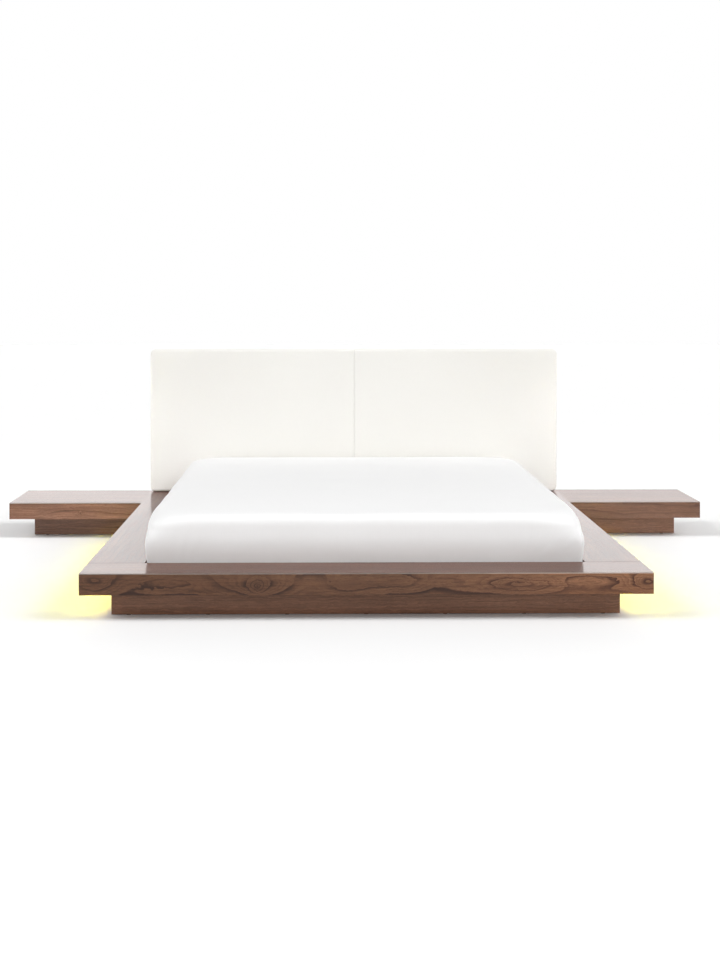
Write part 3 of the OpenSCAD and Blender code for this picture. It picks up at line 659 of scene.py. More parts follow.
def new_piece(name: str, points: Array, faces: Array, flat: Array | None = None) -> Piece:
    """Makes a mesh object and puts it into the scene.

    Args:
        name: The piece's name.
        points: Its points, of shape (n, 3).
        faces: The four points of each face.
        flat: Each point's place on the flat map in metres, where the piece has one.

    Returns:
        The piece, smooth shaded where it has a map.
    """
    mesh = bpy.data.meshes.new(name)
    mesh.from_pydata(points.tolist(), [], faces.tolist())
    if flat is not None:
        layer = mesh.uv_layers.new(name="Flat")
        layer.data.foreach_set("uv", flat[faces.ravel()].astype(np.float32).ravel())
        mesh.shade_smooth()
    piece = bpy.data.objects.new(name, mesh)
    bpy.context.scene.collection.objects.link(piece)
    return piece


def cells(index: Array) -> Array:
    """Returns the four corners of each cell of a grid of numbers, turning left seen from above."""
    around = [index[:-1, :-1], index[:-1, 1:], index[1:, 1:], index[1:, :-1]]
    return np.stack(around, axis=-1).reshape(-1, 4)


def vertices(mesh: bpy.types.Mesh) -> Array:
    """Returns a mesh's vertices as an array of shape (n, 3)."""
    points = np.zeros(len(mesh.vertices) * 3, np.float32)
    mesh.vertices.foreach_get("co", points)
    return points.reshape(-1, 3).astype(float)


def place_vertices(piece: Piece, points: Array) -> None:
    """Puts a piece's vertices where the points are."""
    piece.data.vertices.foreach_set("co", points.astype(np.float32).ravel())
    piece.data.update()


def turn_outwards(mesh: bpy.types.Mesh) -> None:
    """Turns every face of a closed mesh outwards."""
    work = bmesh.new()
    work.from_mesh(mesh)
    bmesh.ops.recalc_face_normals(work, faces=work.faces)
    work.to_mesh(mesh)
    work.free()


def subdivide(piece: Piece) -> None:
    """Adds one level of subdivision, the same in the view and the render."""
    modifier = piece.modifiers.new("Smooth", "SUBSURF")
    modifier.levels = 1
    modifier.render_levels = 1


def settle(piece: Piece, cap: float, weight: Array) -> None:
    """Lets a pad's cover swell and settle as cloth, and keeps the result in its mesh.

    Each point moves from its place by what the cloth moved it, at most the cap, times its
    weight.

    Args:
        piece: The pad.
        cap: The furthest a point may move, in metres.
        weight: Each point's share of the movement, 0 to 1.
    """
    rest = vertices(piece.data)
    cloth = piece.modifiers.new("Cover", "CLOTH")
    for name, value in COVER_SETTINGS.items():
        setattr(cloth.settings, name, value)
    cloth.settings.effector_weights.gravity = 0.0
    cloth.collision_settings.use_collision = False
    scene = bpy.context.scene
    for number in range(1, COVER_FRAMES + 1):
        scene.frame_set(number)
    moved = vertices(piece.evaluated_get(bpy.context.evaluated_depsgraph_get()).data)
    piece.modifiers.remove(cloth)
    scene.frame_set(1)
    step = np.nan_to_num(moved - rest)
    length = np.linalg.norm(step, axis=1, keepdims=True)
    step *= np.minimum(1.0, cap / np.maximum(length, 1e-9)) * weight[:, None]
    place_vertices(piece, rest + step)


def grid_normals(points: Array) -> Array:
    """Returns the unit normals of a grid of points, from the cross product of its two slopes."""
    normal = np.cross(np.gradient(points, axis=1), np.gradient(points, axis=0))
    return normal / np.maximum(np.linalg.norm(normal, axis=-1, keepdims=True), 1e-12)


def waves(u: Array, v: Array, size: Pair, seed: int, count: int = 14) -> Array:
    """Adds up sine waves of random direction and phase into smooth, seeded unevenness.

    Args:
        u: The first coordinate of each point.
        v: The second coordinate.
        size: The mean length of a wave along each.
        seed: The seed.
        count: How many waves are added.

    Returns:
        The unevenness, about -1 to 1.
    """
    rng = np.random.default_rng(seed)
    angle = rng.uniform(0.0, 2.0 * np.pi, count)
    phase = rng.uniform(0.0, 2.0 * np.pi, count)
    rate = 2.0 * np.pi * rng.uniform(0.6, 1.6, count)
    across = np.cos(angle) * rate / size[0]
    along = np.sin(angle) * rate / size[1]
    total = np.sin(u[..., None] * across + v[..., None] * along + phase).sum(axis=-1)
    return total / math.sqrt(count)


def spaced(inner: float, reach: float, steps: Pair, seam: bool = False) -> Array:
    """Works out one axis of a pad's flat grid.

    The steps are coarse over the inner part and fine over the part that turns down. At a seam
    the middle gets extra lines, closer together towards it.

    Args:
        inner: Half the length of the inner part.
        reach: The length that turns down past it.
        steps: The inner and the outer step.
        seam: Whether a seam runs across the middle of this axis.

    Returns:
        The axis's values, from negative to positive.
    """
    half = np.linspace(0.0, inner, max(2, round(inner / steps[0])) + 1)
    if seam:
        close = np.array([0.0, 0.0012, 0.0026, 0.0045, 0.0075, 0.012, 0.019])
        half = np.concatenate([close, half[half > 0.028]])
    outer = inner + np.linspace(0.0, reach, max(2, round(reach / steps[1])) + 1)[1:]
    positive = np.concatenate([half, outer])
    return np.concatenate([-positive[:0:-1], positive])


@dataclass
class Profile:
    """A pad's section from the middle of its face outwards and round to its back.

    out is how far each point is beyond the inner rectangle, rise its height above the pad's
    back, and power the exponent of the rounding of the pad's corners there: 2 is a circle and
    more is squarer.
    """

    out: Array
    rise: Array
    power: Array

    def length(self) -> Array:
        """Returns the distance along the section at each of its points."""
        steps = np.hypot(np.diff(self.out), np.diff(self.rise))
        return np.concatenate([[0.0], np.cumsum(steps)])


@dataclass
class Pad:
    """A closed pad: a flat grid wrapped over its face and sides, and another over its back.

    inner is half the rectangle where it is flat, half the same up to the start of the edge's
    rounding, and face the height of the face's edge. The crown ends so far in from an edge as
    its reach says. steps are the flat grid's inner and outer step.
    """

    inner: Array
    half: Array
    profile: Profile
    face: float
    crown_reach: float
    crown_rise: float
    steps: Pair
    seam: bool = False

    def __post_init__(self) -> None:
        """Works out the flat grid and how far each of its points is past the inner rectangle."""
        reach = self.profile.length()[-1]
        self.s = spaced(self.inner[0], reach, self.steps, self.seam)
        self.t = spaced(self.inner[1], reach, self.steps)
        self.grid_s, self.grid_t = np.meshgrid(self.s, self.t)
        self.past_s = np.maximum(np.abs(self.grid_s) - self.inner[0], 0.0)
        self.past_t = np.maximum(np.abs(self.grid_t) - self.inner[1], 0.0)

    def placed(self, out: Array, power: Array, rise: Array) -> Array:
        """Puts the grid's points at distances out from the inner rectangle.

        In the corners the direction is kept and the length is divided by its own norm of that
        power, which rounds the corner.

        Args:
            out: How far each point is past the inner rectangle.
            power: The exponent of the corners' rounding at each point.
            rise: Each point's height.

        Returns:
            The points, of shape (t, s, 3).
        """
        far = np.maximum(self.past_s, self.past_t)
        safe = np.maximum(far, 1e-12)
        norm = ((self.past_s / safe) ** power + (self.past_t / safe) ** power) ** (1.0 / power)
        norm = np.where(far > 0, norm, 1.0)
        out_s = self.past_s / safe / norm * out
        out_t = self.past_t / safe / norm * out
        x = np.sign(self.grid_s) * (np.minimum(np.abs(self.grid_s), self.inner[0]) + out_s)
        y = np.sign(self.grid_t) * (np.minimum(np.abs(self.grid_t), self.inner[1]) + out_t)
        return np.stack([x, y, rise], axis=-1)

    def crown(self, points: Array) -> Array:
        """Works out how far the face rises over its edge.

        The rise is one minus the square of what is left of the reach, read at a smooth minimum
        of the distances to the two nearest edges.

        Args:
            points: The face's points.

        Returns:
            The rise at each point, which is 0 on the sides.
        """
        edge_x = np.maximum(self.half[0] - np.abs(points[..., 0]), 1e-4)
        edge_y = np.maximum(self.half[1] - np.abs(points[..., 1]), 1e-4)
        nearest = (edge_x**-4 + edge_y**-4) ** -0.25
        left = 1.0 - np.clip(nearest / self.crown_reach, 0.0, 1.0)
        return np.where(points[..., 2] > self.face - 1e-6, self.crown_rise * (1.0 - left**2), 0.0)

    def sheets(self) -> tuple[Array, Array]:
        """Wraps the two flat grids over the pad.

        A point that lies past the inner rectangle is read along the profile by its larger
        distance past it, so the sides fold down all round. The back's grid takes the last
        outline and draws it in evenly.

        Returns:
            The points of the face with its sides, and of the back.
        """
        profile, along = self.profile, self.profile.length()
        far = np.maximum(self.past_s, self.past_t)
        lines = (profile.out, profile.power, profile.rise)
        top = self.placed(*(np.interp(far, along, line) for line in lines))
        top[..., 2] += self.crown(top)
        share = far / along[-1]
        power = 2.0 + (profile.power[-1] - 2.0) * share**4
        return top, self.placed(share * profile.out[-1], power, np.full_like(far, profile.rise[-1]))

    def piece(self, name: str, top: Array, back: Array) -> Piece:
        """Makes one closed mesh of the face and the back, which share their outline.

        Args:
            name: The piece's name.
            top: The points of the face with its sides.
            back: The points of the back.

        Returns:
            The piece, smooth shaded, with a map in metres on which the back lies beside the face.
        """
        rows, columns = top.shape[:2]
        index_top = np.arange(rows * columns).reshape(rows, columns)
        rim = np.ones((rows, columns), bool)
        rim[1:-1, 1:-1] = False
        index_back = index_top.copy()
        index_back[~rim] = rows * columns + np.arange(int((~rim).sum()))
        grid = np.stack([self.grid_s, self.grid_t], axis=-1).reshape(-1, 2)
        return new_piece(
            name, np.concatenate([top.reshape(-1, 3), back[~rim]]),
            np.concatenate([cells(index_top), cells(index_back)[:, ::-1]]),
            np.concatenate([grid, grid[~rim.ravel()] + (0.0, 5.0)]))


@dataclass
class Platform:
    """The wooden surround, its plinth and the boards round the mattress's bay."""

    side_lacquer: float = 0.38
    front_knots: tuple[Knot, ...] = (
        Knot(-0.959, 0.133, 0.036, 1.8, 2.0), Knot(-0.683, 0.133, 0.018, -1.1, 5.0),
        Knot(-0.386, 0.120, 0.022, 2.2, 1.1, 0.25), Knot(-0.375, 0.128, 0.040, 1.0, 2.0),
        Knot(-0.400, 0.125, 0.090, 1.2, 2.0), Knot(-0.132, 0.135, 0.006, 1.2, 1.3, 0.5),
        Knot(-0.053, 0.133, 0.036, 1.4, 2.4), Knot(0.115, 0.134, 0.030, 1.2, 3.2),
        Knot(0.535, 0.126, 0.026, 1.9, 4.2), Knot(0.570, 0.150, 0.013, -0.9, 6.0),
        Knot(0.780, 0.137, 0.020, -1.0, 5.0), Knot(0.990, 0.132, 0.030, 1.6, 1.7),
    )

    def build(self) -> list[Piece]:
        """Returns the platform's pieces, all of them dressed CAD nodes."""
        return [*self.tops(), *self.edges(), *self.plinth(), *self.hidden()]

    def tops(self) -> list[Piece]:
        """Dresses the top boards, whose grain runs along each."""
        made = dress(TOP.board("foot rail top", Grain.ALONG_X_FACE_UP, 3.1, joint_y=BAY_FRONT_Y),
                     "foot_rail_top")
        for side, seed in (("left", 5.3), ("right", 7.9)):
            made += dress(TOP.board(f"{side} rail top", Grain.ALONG_Y_FACE_UP, seed, joint_y=BAY_FRONT_Y,
                                    lacquer=self.side_lacquer), f"{side}_rail_top")
        return made + dress(TOP.board("head rail top", Grain.ALONG_X_FACE_UP, 9.7), "head_rail_top")

    def edges(self) -> list[Piece]:
        """Dresses the edge boards, with the front one's knots where they show."""
        made = dress(WALNUT.board(
            "front edge", Grain.ALONG_X_FACE_ON, 47.3, straightness=0.55, lines=3.6, line_strength=1.0,
            arris=ARRIS, lighter=0.85, dark=(0.034, 0.012, 0.006), middle=(0.109, 0.046, 0.021),
            light=(0.140, 0.064, 0.032), knots=self.front_knots), "foot_rail_fascia")
        for side, seed in (("left", 2.2), ("right", 4.6)):
            made += dress(WALNUT.board(f"{side} edge", Grain.ALONG_Y_FACE_OUT, seed, straightness=0.2,
                                       line_strength=0.85, arris=ARRIS),
                          f"foot_rail_end_{side}", f"{side}_rail_fascia")
        return made

    def plinth(self) -> list[Piece]:
        """Dresses the straight-grained plinth and the back board."""
        made = dress(PLINTH.board("plinth front", Grain.ALONG_X_FACE_ON, 11.3, lighter=0.08), "plinth_front")
        made += dress(WALNUT.board("back board", Grain.ALONG_X_FACE_ON, 12.9, straightness=0.6, lines=12.0),
                      "rear_board")
        for side, seed in (("left", 13.3), ("right", 14.2)):
            made += dress(PLINTH.board(f"plinth {side}", Grain.ALONG_Y_FACE_OUT, seed), f"plinth_{side}")
        return made

    def hidden(self) -> list[Piece]:
        """Dresses the softwood boards, the glides, the brackets and the screws."""
        return [
            *dress(SPRUCE.board("cross boards", Grain.ALONG_X_FACE_ON, 21.0),
                   "foot_bay_board", "head_bay_board"),
            *dress(SPRUCE.board("bay boards", Grain.ALONG_Y_FACE_OUT, 22.4),
                   "left_bay_board", "right_bay_board"),
            *dress(SPRUCE.board("gussets", Grain.ALONG_Z_FACE_ON, 23.1), "rail_gussets"),
            *dress(BLACK_MOULDING, "plinth_glides"),
            *dress(PLATED_STEEL, "corner_brackets", "frame_screws"),
        ]


@dataclass
class BedsideTable:
    """One bedside table, joined to the platform's side."""

    side: str
    seed: float
    knots: tuple[Knot, ...] = ()
    warmth: float = 1.0
    plinth_warmth: float = 1.0
    top_lacquer: float = 0.325

    def build(self) -> list[Piece]:
        """Returns the table's pieces, all of them dressed CAD nodes."""
        node, words = f"{self.side}_table", f"{self.side} table"
        edge, plinth = TABLE_EDGE.warmed(self.warmth), PLINTH.warmed(self.plinth_warmth)
        return [
            *dress(TOP.board(f"{words} top", Grain.ALONG_X_FACE_UP, self.seed, lacquer=self.top_lacquer),
                   f"{node}_top"),
            *dress(edge.board(f"{words} edge", Grain.ALONG_X_FACE_ON, self.seed + 1.0, arris=ARRIS,
                              knots=self.knots), f"{node}_front"),
            *dress(WALNUT.board(f"{words} side", Grain.ALONG_Y_FACE_OUT, self.seed + 2.0, straightness=0.3,
                                arris=ARRIS), f"{node}_side"),
            *dress(plinth.board(f"{words} plinth", Grain.ALONG_X_FACE_ON, self.seed + 3.0),
                   f"{node}_back", f"{node}_plinth_front"),
            *dress(plinth.board(f"{words} plinth side", Grain.ALONG_Y_FACE_OUT, self.seed + 4.0),
                   f"{node}_plinth_side", f"{node}_inner_board"),
        ]


@dataclass
class SlatBase:
    """The sprung slats and what carries them."""

    def build(self) -> list[Piece]:
        """Returns the slat base's pieces, all of them dressed CAD nodes."""
        return [
            *dress(BIRCH.board("slats", Grain.ALONG_X_FACE_UP, 31.0), "slats_left", "slats_right"),
            *dress(SPRUCE.board("bearers", Grain.ALONG_Y_FACE_OUT, 33.0),
                   "slat_ledger_left", "slat_ledger_right", "centre_beam"),
            *dress(BLACK_MOULDING, "slat_caps", "centre_legs"),
            *dress(PLATED_STEEL, "beam_hangers", "levelling_foot_1", "levelling_foot_2", "levelling_foot_3",
                   "table_bolts"),
        ]


@dataclass
class Headboard:
    """The padded headboard: its upholstery with one seam, its dust cloth and its struts."""

    half_width: float = 1.014
    base_z: float = 0.1663
    height: float = 0.7097
    front_y: float = 1.0665
    depth: float = 0.0685
    edge_radius: float = 0.010
    corner_radius: float = 0.024
    crown_rise: float = 0.004
    crown_reach: float = 0.284
    draw: float = 0.003
    draw_depth: float = 0.014
    seam_depth: float = 0.0034
    seam_half_width: float = 0.0028
    shoulder_depth: float = 0.0012
    shoulder_half_width: float = 0.017
    pucker_depth: float = 0.00035
    pucker_reach: float = 0.035
    ease_depth: float = 0.0005
    settling: float = 0.0015
    steps: Pair = (0.024, 0.008)
    cloth_thickness: float = 0.0007
    cloth_unevenness: float = 0.00025
    cloth_edge: float = 0.06
    pull_depth: float = 0.0003
    pull_reach: float = 0.02
    staple_inset: float = 0.009
    staple_pitch: float = 0.055
    staple_half: Triple = (0.0055, 0.0006, 0.0005)
    leather: CoatedLeather = CoatedLeather("Cream leather", (0.85, 0.836, 0.796))
    dust_cloth: Cloth = Cloth("Dust cloth", (0.020, 0.020, 0.021), pitch=0.0016, relief=0.00025, sheen=0.3)

    def build(self) -> list[Piece]:
        """Returns the headboard's pieces."""
        return [
            self.upholstery(), self.back_cloth(), self.staples(),
            *dress(SPRUCE.board("backing", Grain.ALONG_X_FACE_ON, 41.0), "headboard_backing"),
            *dress(SPRUCE.board("struts", Grain.ALONG_Z_FACE_ON, 43.0), "headboard_struts"),
            *dress(PLATED_STEEL, "strut_bolts"),
        ]

    def profile(self) -> Profile:
        """Works out the section: a quarter round at the face's edge, a flat side, a drawn-in back."""
        face = self.depth - self.crown_rise
        angle = np.linspace(0.5 * np.pi, 0.0, 8)
        out = np.concatenate([
            [0.0], self.corner_radius - self.edge_radius * (1.0 - np.cos(angle)),
            np.full(4, self.corner_radius),
            np.linspace(self.corner_radius, self.corner_radius - self.draw, 3)[1:],
        ])
        rise = np.concatenate([
            [face], face - self.edge_radius * (1.0 - np.sin(angle)),
            np.linspace(face - self.edge_radius, self.draw_depth, 5)[1:],
            np.linspace(self.draw_depth, 0.0, 3)[1:],
        ])
        return Profile(out, rise, np.full_like(out, 2.0))

    def upholstery(self) -> Piece:
        """Builds the padded front, which stands for the CAD cover and padding.

        The face is a crowned pad. The seam presses it in as a narrow bell in a wider soft
        shoulder, and small puckers run out from the seam and die away.
        """
        half = np.array([self.half_width, 0.5 * self.height])
        pad = Pad(half - self.corner_radius, half - self.edge_radius, self.profile(),
                  self.depth - self.crown_rise, self.crown_reach, self.crown_rise, self.steps, seam=True)
        top, back = pad.sheets()
        away = np.abs(pad.grid_s)
        press = self.seam_depth * np.exp(-((away / self.seam_half_width) ** 2))
        press += self.shoulder_depth * np.exp(-((away / self.shoulder_half_width) ** 2))
        pucker = np.exp(-away / self.pucker_reach) * waves(pad.grid_s, pad.grid_t, (0.30, 0.030), 5)
        ease = waves(pad.grid_s, pad.grid_t, (0.45, 0.30), 8)
        top += grid_normals(top) * (self.pucker_depth * pucker + self.ease_depth * ease - press)[..., None]
        piece = pad.piece("headboard_upholstery", top, back)
        points = vertices(piece.data)
        weight = np.clip((points[:, 2] - 0.012) / 0.03, 0.0, 1.0)
        weight *= np.clip((np.abs(points[:, 0]) - 0.02) / 0.05, 0.0, 1.0)
        settle(piece, self.settling, weight)
        points = vertices(piece.data)
        place_vertices(piece, np.stack([
            points[:, 0], self.front_y + self.depth - points[:, 2],
            self.base_z + 0.5 * self.height + points[:, 1]], axis=1))
        subdivide(piece)
        piece.data.materials.append(self.leather.material())
        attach(piece, "frame")
        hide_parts("headboard_cover", "headboard_padding")
        return piece

    def back_cloth(self) -> Piece:
        """Builds the dust cloth: a flat sheet, a little uneven between its staples.

        It faces +Y. Near its rim the pull of the staples is a cosine along it that dies away
        inwards.
        """
        low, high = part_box("headboard_back_cloth")
        x = np.linspace(low.x, high.x, 120)
        z = np.linspace(low.z + 0.001, high.z, 44)
        grid_x, grid_z = np.meshgrid(x, z)
        rim = np.minimum.reduce([grid_x - low.x, high.x - grid_x, grid_z - low.z, high.z - grid_z])
        held = np.clip(rim / self.cloth_edge, 0.0, 1.0)
        pull = self.pull_depth * np.cos(grid_x * 2.0 * np.pi / self.cloth_edge)
        pull *= np.exp(-np.maximum(rim, 0.0) / self.pull_reach)
        y = high.y - 0.0004 + held * self.cloth_unevenness * waves(grid_x, grid_z, (0.30, 0.22), 12)
        y -= np.abs(pull)
        points = np.stack([grid_x, np.minimum(y, high.y), grid_z], axis=-1)
        index = np.arange(grid_x.size).reshape(grid_x.shape)
        flat = np.stack([grid_x, grid_z], axis=-1).reshape(-1, 2)
        piece = new_piece("dust_cloth", points.reshape(-1, 3), cells(index)[:, [0, 3, 2, 1]], flat)
        solid = piece.modifiers.new("Thickness", "SOLIDIFY")
        solid.thickness = self.cloth_thickness
        solid.offset = -1.0
        piece.data.materials.append(self.dust_cloth.material())
        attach(piece, "frame")
        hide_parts("headboard_back_cloth")
        return piece

    def staples(self) -> Piece:
        """Builds the staples round the dust cloth: small bars.

        Each is a box, moved to its place and turned with the edge that it runs along.
        """
        low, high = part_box("headboard_back_cloth")
        along_x = np.arange(low.x + 0.03, high.x - 0.02, self.staple_pitch)
        along_z = np.arange(low.z + 0.04, high.z - 0.03, self.staple_pitch)
        inset = self.staple_inset
        rows = [(along_x, z, 0.0) for z in (low.z + inset, high.z - inset)]
        rows += [(x, along_z, 1.0) for x in (low.x + inset, high.x - inset)]
        centres = np.concatenate([np.stack(np.broadcast_arrays(*row), axis=1) for row in rows])
        face = ((-1, -1), (1, -1), (1, 1), (-1, 1))
        corner = np.array([[a, d, b] for d in (-1, 1) for a, b in face]) * self.staple_half
        upright = centres[:, 2] > 0.5
        shape = np.where(upright[:, None, None], corner[None, :, ::-1], corner[None])
        origin = np.stack([centres[:, 0], np.full(len(centres), high.y + 0.0002), centres[:, 1]], axis=1)
        cube = np.array([[0, 1, 2, 3], [7, 6, 5, 4], [0, 4, 5, 1], [1, 5, 6, 2], [2, 6, 7, 3], [3, 7, 4, 0]])
        faces = cube[None] + len(corner) * np.arange(len(centres))[:, None, None]
        points = (shape + origin[:, None, :]).reshape(-1, 3)
        piece = new_piece("dust_cloth_staples", points, faces.reshape(-1, 4))
        turn_outwards(piece.data)
        piece.data.materials.append(PLATED_STEEL.material())
        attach(piece, "frame")
        return piece


@dataclass
class Mattress:
    """The mattress in its fitted white cover, sunk into the platform."""

    half_width: float = 0.800
    half_length: float = 1.000
    middle_y: float = 0.0615
    base_z: float = 0.109
    height: float = 0.233
    crown_rise: float = 0.013
    crown_reach: float = 0.576
    bulge: float = 0.009
    sunk: float = 0.057
    swell: float = 0.070
    shoulder: float = 0.004
    top_radius: float = 0.035
    bottom_radius: float = 0.015
    corner_radius: float = 0.022
    top_corner_radius: float = 0.185
    drag_depth: float = 0.0008
    drag_reach: float = 0.35
    ease_depth: float = 0.0009
    settling: float = 0.003
    stop_start: float = 0.988
    stop_room: float = 0.011
    cloth_free: float = 0.004
    steps: Pair = (0.026, 0.017)
    cover: Cloth = Cloth("White cover", (0.83, 0.83, 0.83), pitch=0.0007, relief=0.00006, sheen=0.0)

    def profile(self) -> Profile:
        """Works out the section from the top's flat part down the side to the bottom's edge.

        The top edge is a quarter round, the side leans out from the shoulder to the swell and
        back in to the bay, and the bottom edge is a quarter round.
        """
        growth = self.top_corner_radius - self.corner_radius
        turn = self.height - self.top_radius
        belly = self.sunk + self.swell
        angle = np.linspace(0.5 * np.pi, 0.0, 9)
        lean = np.linspace(1.0, 0.0, 8)[1:]
        ease = 0.5 * (1.0 - np.cos(np.pi * lean))
        low = np.linspace(0.5 * np.pi, 0.0, 5)
        inset = np.concatenate([
            [self.top_radius - self.shoulder + self.top_corner_radius],
            self.top_radius * (1.0 - np.cos(angle)) - self.shoulder,
            -self.bulge + ease * (self.bulge - self.shoulder),
            -self.bulge * np.sin(0.5 * np.pi * lean),
            self.bottom_radius * (1.0 - np.sin(low)),
        ])
        rise = np.concatenate([
            [self.height], turn + self.top_radius * np.sin(angle), belly + lean * (turn - belly),
            self.sunk + lean * self.swell, self.bottom_radius * (1.0 - np.cos(low)),
        ])
        radius = np.concatenate([
            [self.top_corner_radius], self.corner_radius + (0.4 + 0.6 * np.sin(angle)) * growth,
            self.corner_radius + 0.4 * ease * growth, np.full(len(lean) + len(low), self.corner_radius),
        ])
        out = inset[0] - inset
        side = np.maximum(out, radius)
        power = -math.log(2.0) / np.log(1.0 - (1.0 - math.sqrt(0.5)) * radius / side)
        return Profile(out, rise, np.clip(power, 2.0, 26.0))

    def head_side(self, along: Array) -> Array:
        """Presses the head end against its stop: past a start, the way left shrinks as an exponential."""
        past = np.maximum(along - self.stop_start, 0.0)
        return np.minimum(along, self.stop_start) + self.stop_room * (1.0 - np.exp(-past / self.stop_room))

    def build(self) -> list[Piece]:
        """Builds the mattress in its cover, which stands for the CAD cover and foam.

        Its crowned face is a little uneven, and drag lines run out to the corners above the bay.
        """
        profile = self.profile()
        half = np.array([self.half_width, self.half_length])
        inner = half - (profile.out[1] + self.top_radius - self.shoulder)
        pad = Pad(inner, half - self.top_radius, profile, self.height, self.crown_reach, self.crown_rise,
                  self.steps)
        top, back = pad.sheets()
        above = np.clip((top[..., 2] - self.sunk - self.cloth_free) / 0.03, 0.0, 1.0)
        near = (pad.past_s > 0.0) & (pad.past_t > 0.0)
        share = np.clip(np.hypot(pad.past_s, pad.past_t) / self.drag_reach, 0.0, 1.0)
        drag = near * share * waves(pad.grid_s - pad.grid_t, pad.grid_s + pad.grid_t, (0.05, 0.3), 21)
        ease = waves(pad.grid_s, pad.grid_t, (0.42, 0.36), 17)
        top += grid_normals(top) * (above * (self.drag_depth * drag + self.ease_depth * ease))[..., None]
        piece = pad.piece("mattress_in_cover", top, back)
        points = vertices(piece.data)
        settle(piece, self.settling, np.clip((points[:, 2] - self.sunk) / 0.05, 0.0, 1.0))
        points = vertices(piece.data)
        points[:, 1] = self.head_side(points[:, 1])
        place_vertices(piece, points + (0.0, self.middle_y, self.base_z))
        subdivide(piece)
        piece.data.materials.append(self.cover.material())
        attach(piece, "mattress")
        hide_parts("mattress_cover", "mattress_foam")
        return [piece]


@dataclass
class Lighting:
    """The light strips under the overhang and behind the headboard."""

    glow: Triple = (1.0, 0.90, 0.03)
    strength: float = 60.0

    def build(self) -> list[Piece]:
        """Returns the lighting's pieces, all of them dressed CAD nodes."""
        return [
            *dress(Metal("Anodised channel", (0.78, 0.79, 0.80), (0.3, 0.45)), "led_channels"),
            *dress(Moulding("Lamp tape", (0.82, 0.80, 0.72), (0.35, 0.5)), "led_strips"),
            *dress(Lamp("Lit diffuser", (0.95, 0.92, 0.80), self.glow, self.strength), "led_diffusers"),
            *dress(BLACK_MOULDING, "led_controller", "dc_inlet"),
        ]


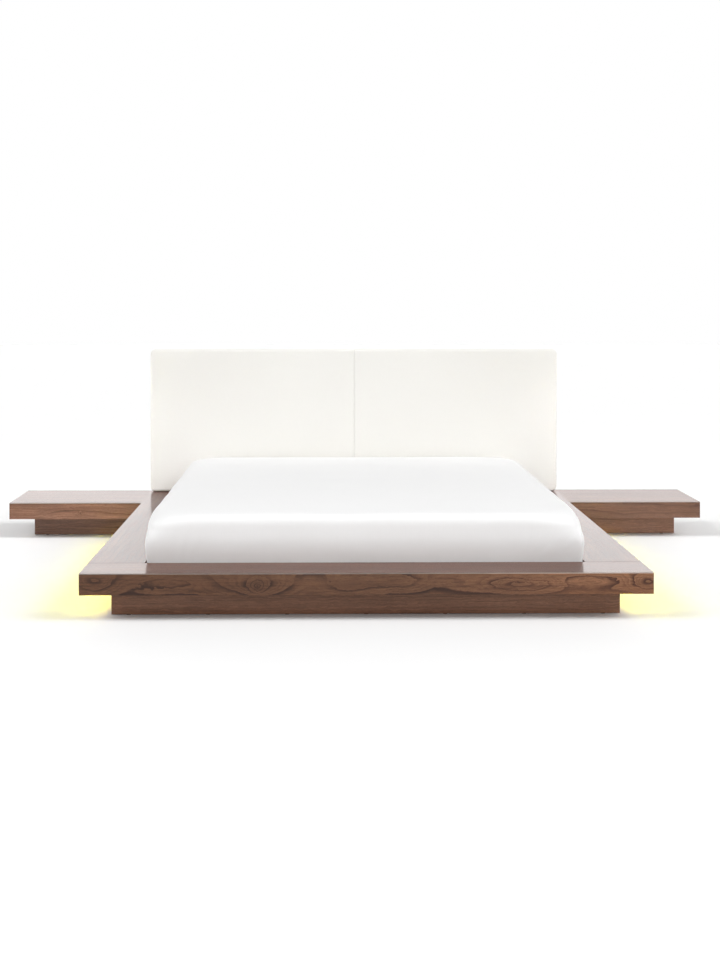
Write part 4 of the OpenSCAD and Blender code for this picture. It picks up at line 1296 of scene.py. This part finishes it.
@dataclass
class Studio:
    """The floor, the lights and the camera.

    Lengths are in metres, angles in radians, and focal, centre and image in pixels.
    """

    camera_place: Triple = (-0.154, -6.4555, 1.135)
    yaw: float = 0.01476
    pitch: float = 0.0160
    focal: float = 1513.6
    centre: Pair = (345.5, 321.3)
    image: tuple[int, int] = (720, 960)
    floor_size: float = 60.0
    sky: float = 0.23
    low_sky: float = 0.25
    back_sky: float = 2.75
    backdrop: float = 1.0
    left_sun: float = 1.72
    right_sun: float = 2.02
    sun_angle: float = math.radians(30.0)
    front_power: float = 76.0
    wash_power: float = 3.2
    corner_power: float = 0.65
    gridded: float = math.radians(16.0)

    def build(self) -> None:
        """Makes the whole studio."""
        self.floor()
        self.world()
        for name, side, strength in (("Left", -1.0, self.left_sun), ("Right", 1.0, self.right_sun)):
            self.lamp(f"{name} diffused sun", "SUN", Vector((1.10 * side, -0.22, 0.866)), energy=strength,
                      angle=self.sun_angle)
        self.softbox("Front softbox", (0.3, -6.0, 1.9), (5.0, 2.4), self.front_power, (0.1, 0.0, 0.3),
                     math.pi)
        self.softbox("Headboard wash", (0.0, -4.2, 1.9), (4.6, 1.2), self.wash_power, (0.0, 1.07, 0.33),
                     self.gridded)
        for side in (-1.0, 1.0):
            self.softbox("Headboard corner lift", (2.3 * side, -3.6, 0.72), (0.3, 0.3), self.corner_power,
                         (1.30 * side, 1.07, 0.30), self.gridded)
        self.camera()
        bpy.context.scene.view_settings.view_transform = "Standard"

    def floor(self) -> None:
        """Makes a plain pale floor."""
        corner = 0.5 * self.floor_size * np.array([[-1, -1, 0], [1, -1, 0], [1, 1, 0], [-1, 1, 0]])
        piece = new_piece("floor", corner, np.arange(4).reshape(1, 4))
        piece.data.materials.append(Ground("Pale floor", (0.92, 0.92, 0.92)).material())

    def world(self) -> None:
        """Makes the surround: a dim sky, brighter low down and most behind, before a pale backdrop."""
        world = bpy.data.worlds.new("Soft surround")
        world.use_nodes = True
        world.node_tree.nodes.clear()
        g = Graph(world.node_tree)
        _, y, z = g.split(g.wire("ShaderNodeTexCoord", output="Generated"))
        low = g.step(z, 0.02, 0.10) * g.step(z, 0.2, 0.45, (1.0, 0.0))
        lit = low * (g.step(y, 0.3, 0.95) * self.back_sky + self.low_sky) + self.sky
        seen = g.wire("ShaderNodeLightPath", output="Is Camera Ray")
        strength = (1.0 - seen) * lit + seen * self.backdrop
        sky = g.wire("ShaderNodeBackground", {"Color": (1.0, 1.0, 1.0), "Strength": strength})
        g.add("ShaderNodeOutputWorld", {"Surface": sky})
        bpy.context.scene.world = world

    def lamp(self, name: str, kind: str, back: Vector, **settings: object) -> Piece:
        """Makes one light.

        Args:
            name: The light's name.
            kind: Blender's name of the light's type.
            back: The direction from what it lights to the light.
            **settings: The light's own properties.

        Returns:
            The light's object.
        """
        data = bpy.data.lights.new(name, kind)
        for key, value in settings.items():
            setattr(data, key, value)
        lamp = bpy.data.objects.new(name, data)
        lamp.rotation_mode = "QUATERNION"
        lamp.rotation_quaternion = back.to_track_quat("Z", "Y")
        bpy.context.scene.collection.objects.link(lamp)
        return lamp

    def softbox(self, name: str, place: Triple, size: Pair, power: float, target: Triple,
                spread: float) -> None:
        """Makes one softbox of a width and height, in watts, that looks at a target through a grid."""
        lamp = self.lamp(name, "AREA", Vector(place) - Vector(target), shape="RECTANGLE", size=size[0],
                         size_y=size[1], energy=power, spread=spread)
        lamp.location = place

    def camera(self) -> None:
        """Makes the camera at the photograph's place, angle and framing."""
        data = bpy.data.cameras.new("Camera")
        width, height = self.image
        data.sensor_fit = "AUTO"
        data.sensor_width = 36.0
        data.lens = self.focal * data.sensor_width / height
        data.shift_x = (0.5 * width - self.centre[0]) / height
        data.shift_y = (self.centre[1] - 0.5 * height) / height
        data.clip_start, data.clip_end = 0.05, 200.0
        camera = bpy.data.objects.new("Camera", data)
        camera.location = self.camera_place
        camera.rotation_euler = (0.5 * math.pi - self.pitch, 0.0, -self.yaw)
        bpy.context.scene.collection.objects.link(camera)
        bpy.context.scene.camera = camera


def main() -> None:
    """Builds every sub-assembly in order and reports its pieces."""
    logging.basicConfig(level=logging.INFO, format="%(name)s: %(message)s")
    Studio().build()
    assemblies = (
        Platform(),
        BedsideTable("left", 51.0, (Knot(-1.298, 0.117, 0.007, 1.0, 1.0, 0.5),), warmth=0.95,
                     plinth_warmth=0.59),
        BedsideTable("right", 61.0, warmth=0.67, plinth_warmth=1.00, top_lacquer=0.245),
        SlatBase(),
        Headboard(),
        Lighting(),
        Mattress(),
    )
    for assembly in assemblies:
        for piece in assembly.build():
            LOG.info("%s: %s, %d faces", type(assembly).__name__, piece.name, len(piece.data.polygons))


if __name__ == "__main__":
    main()
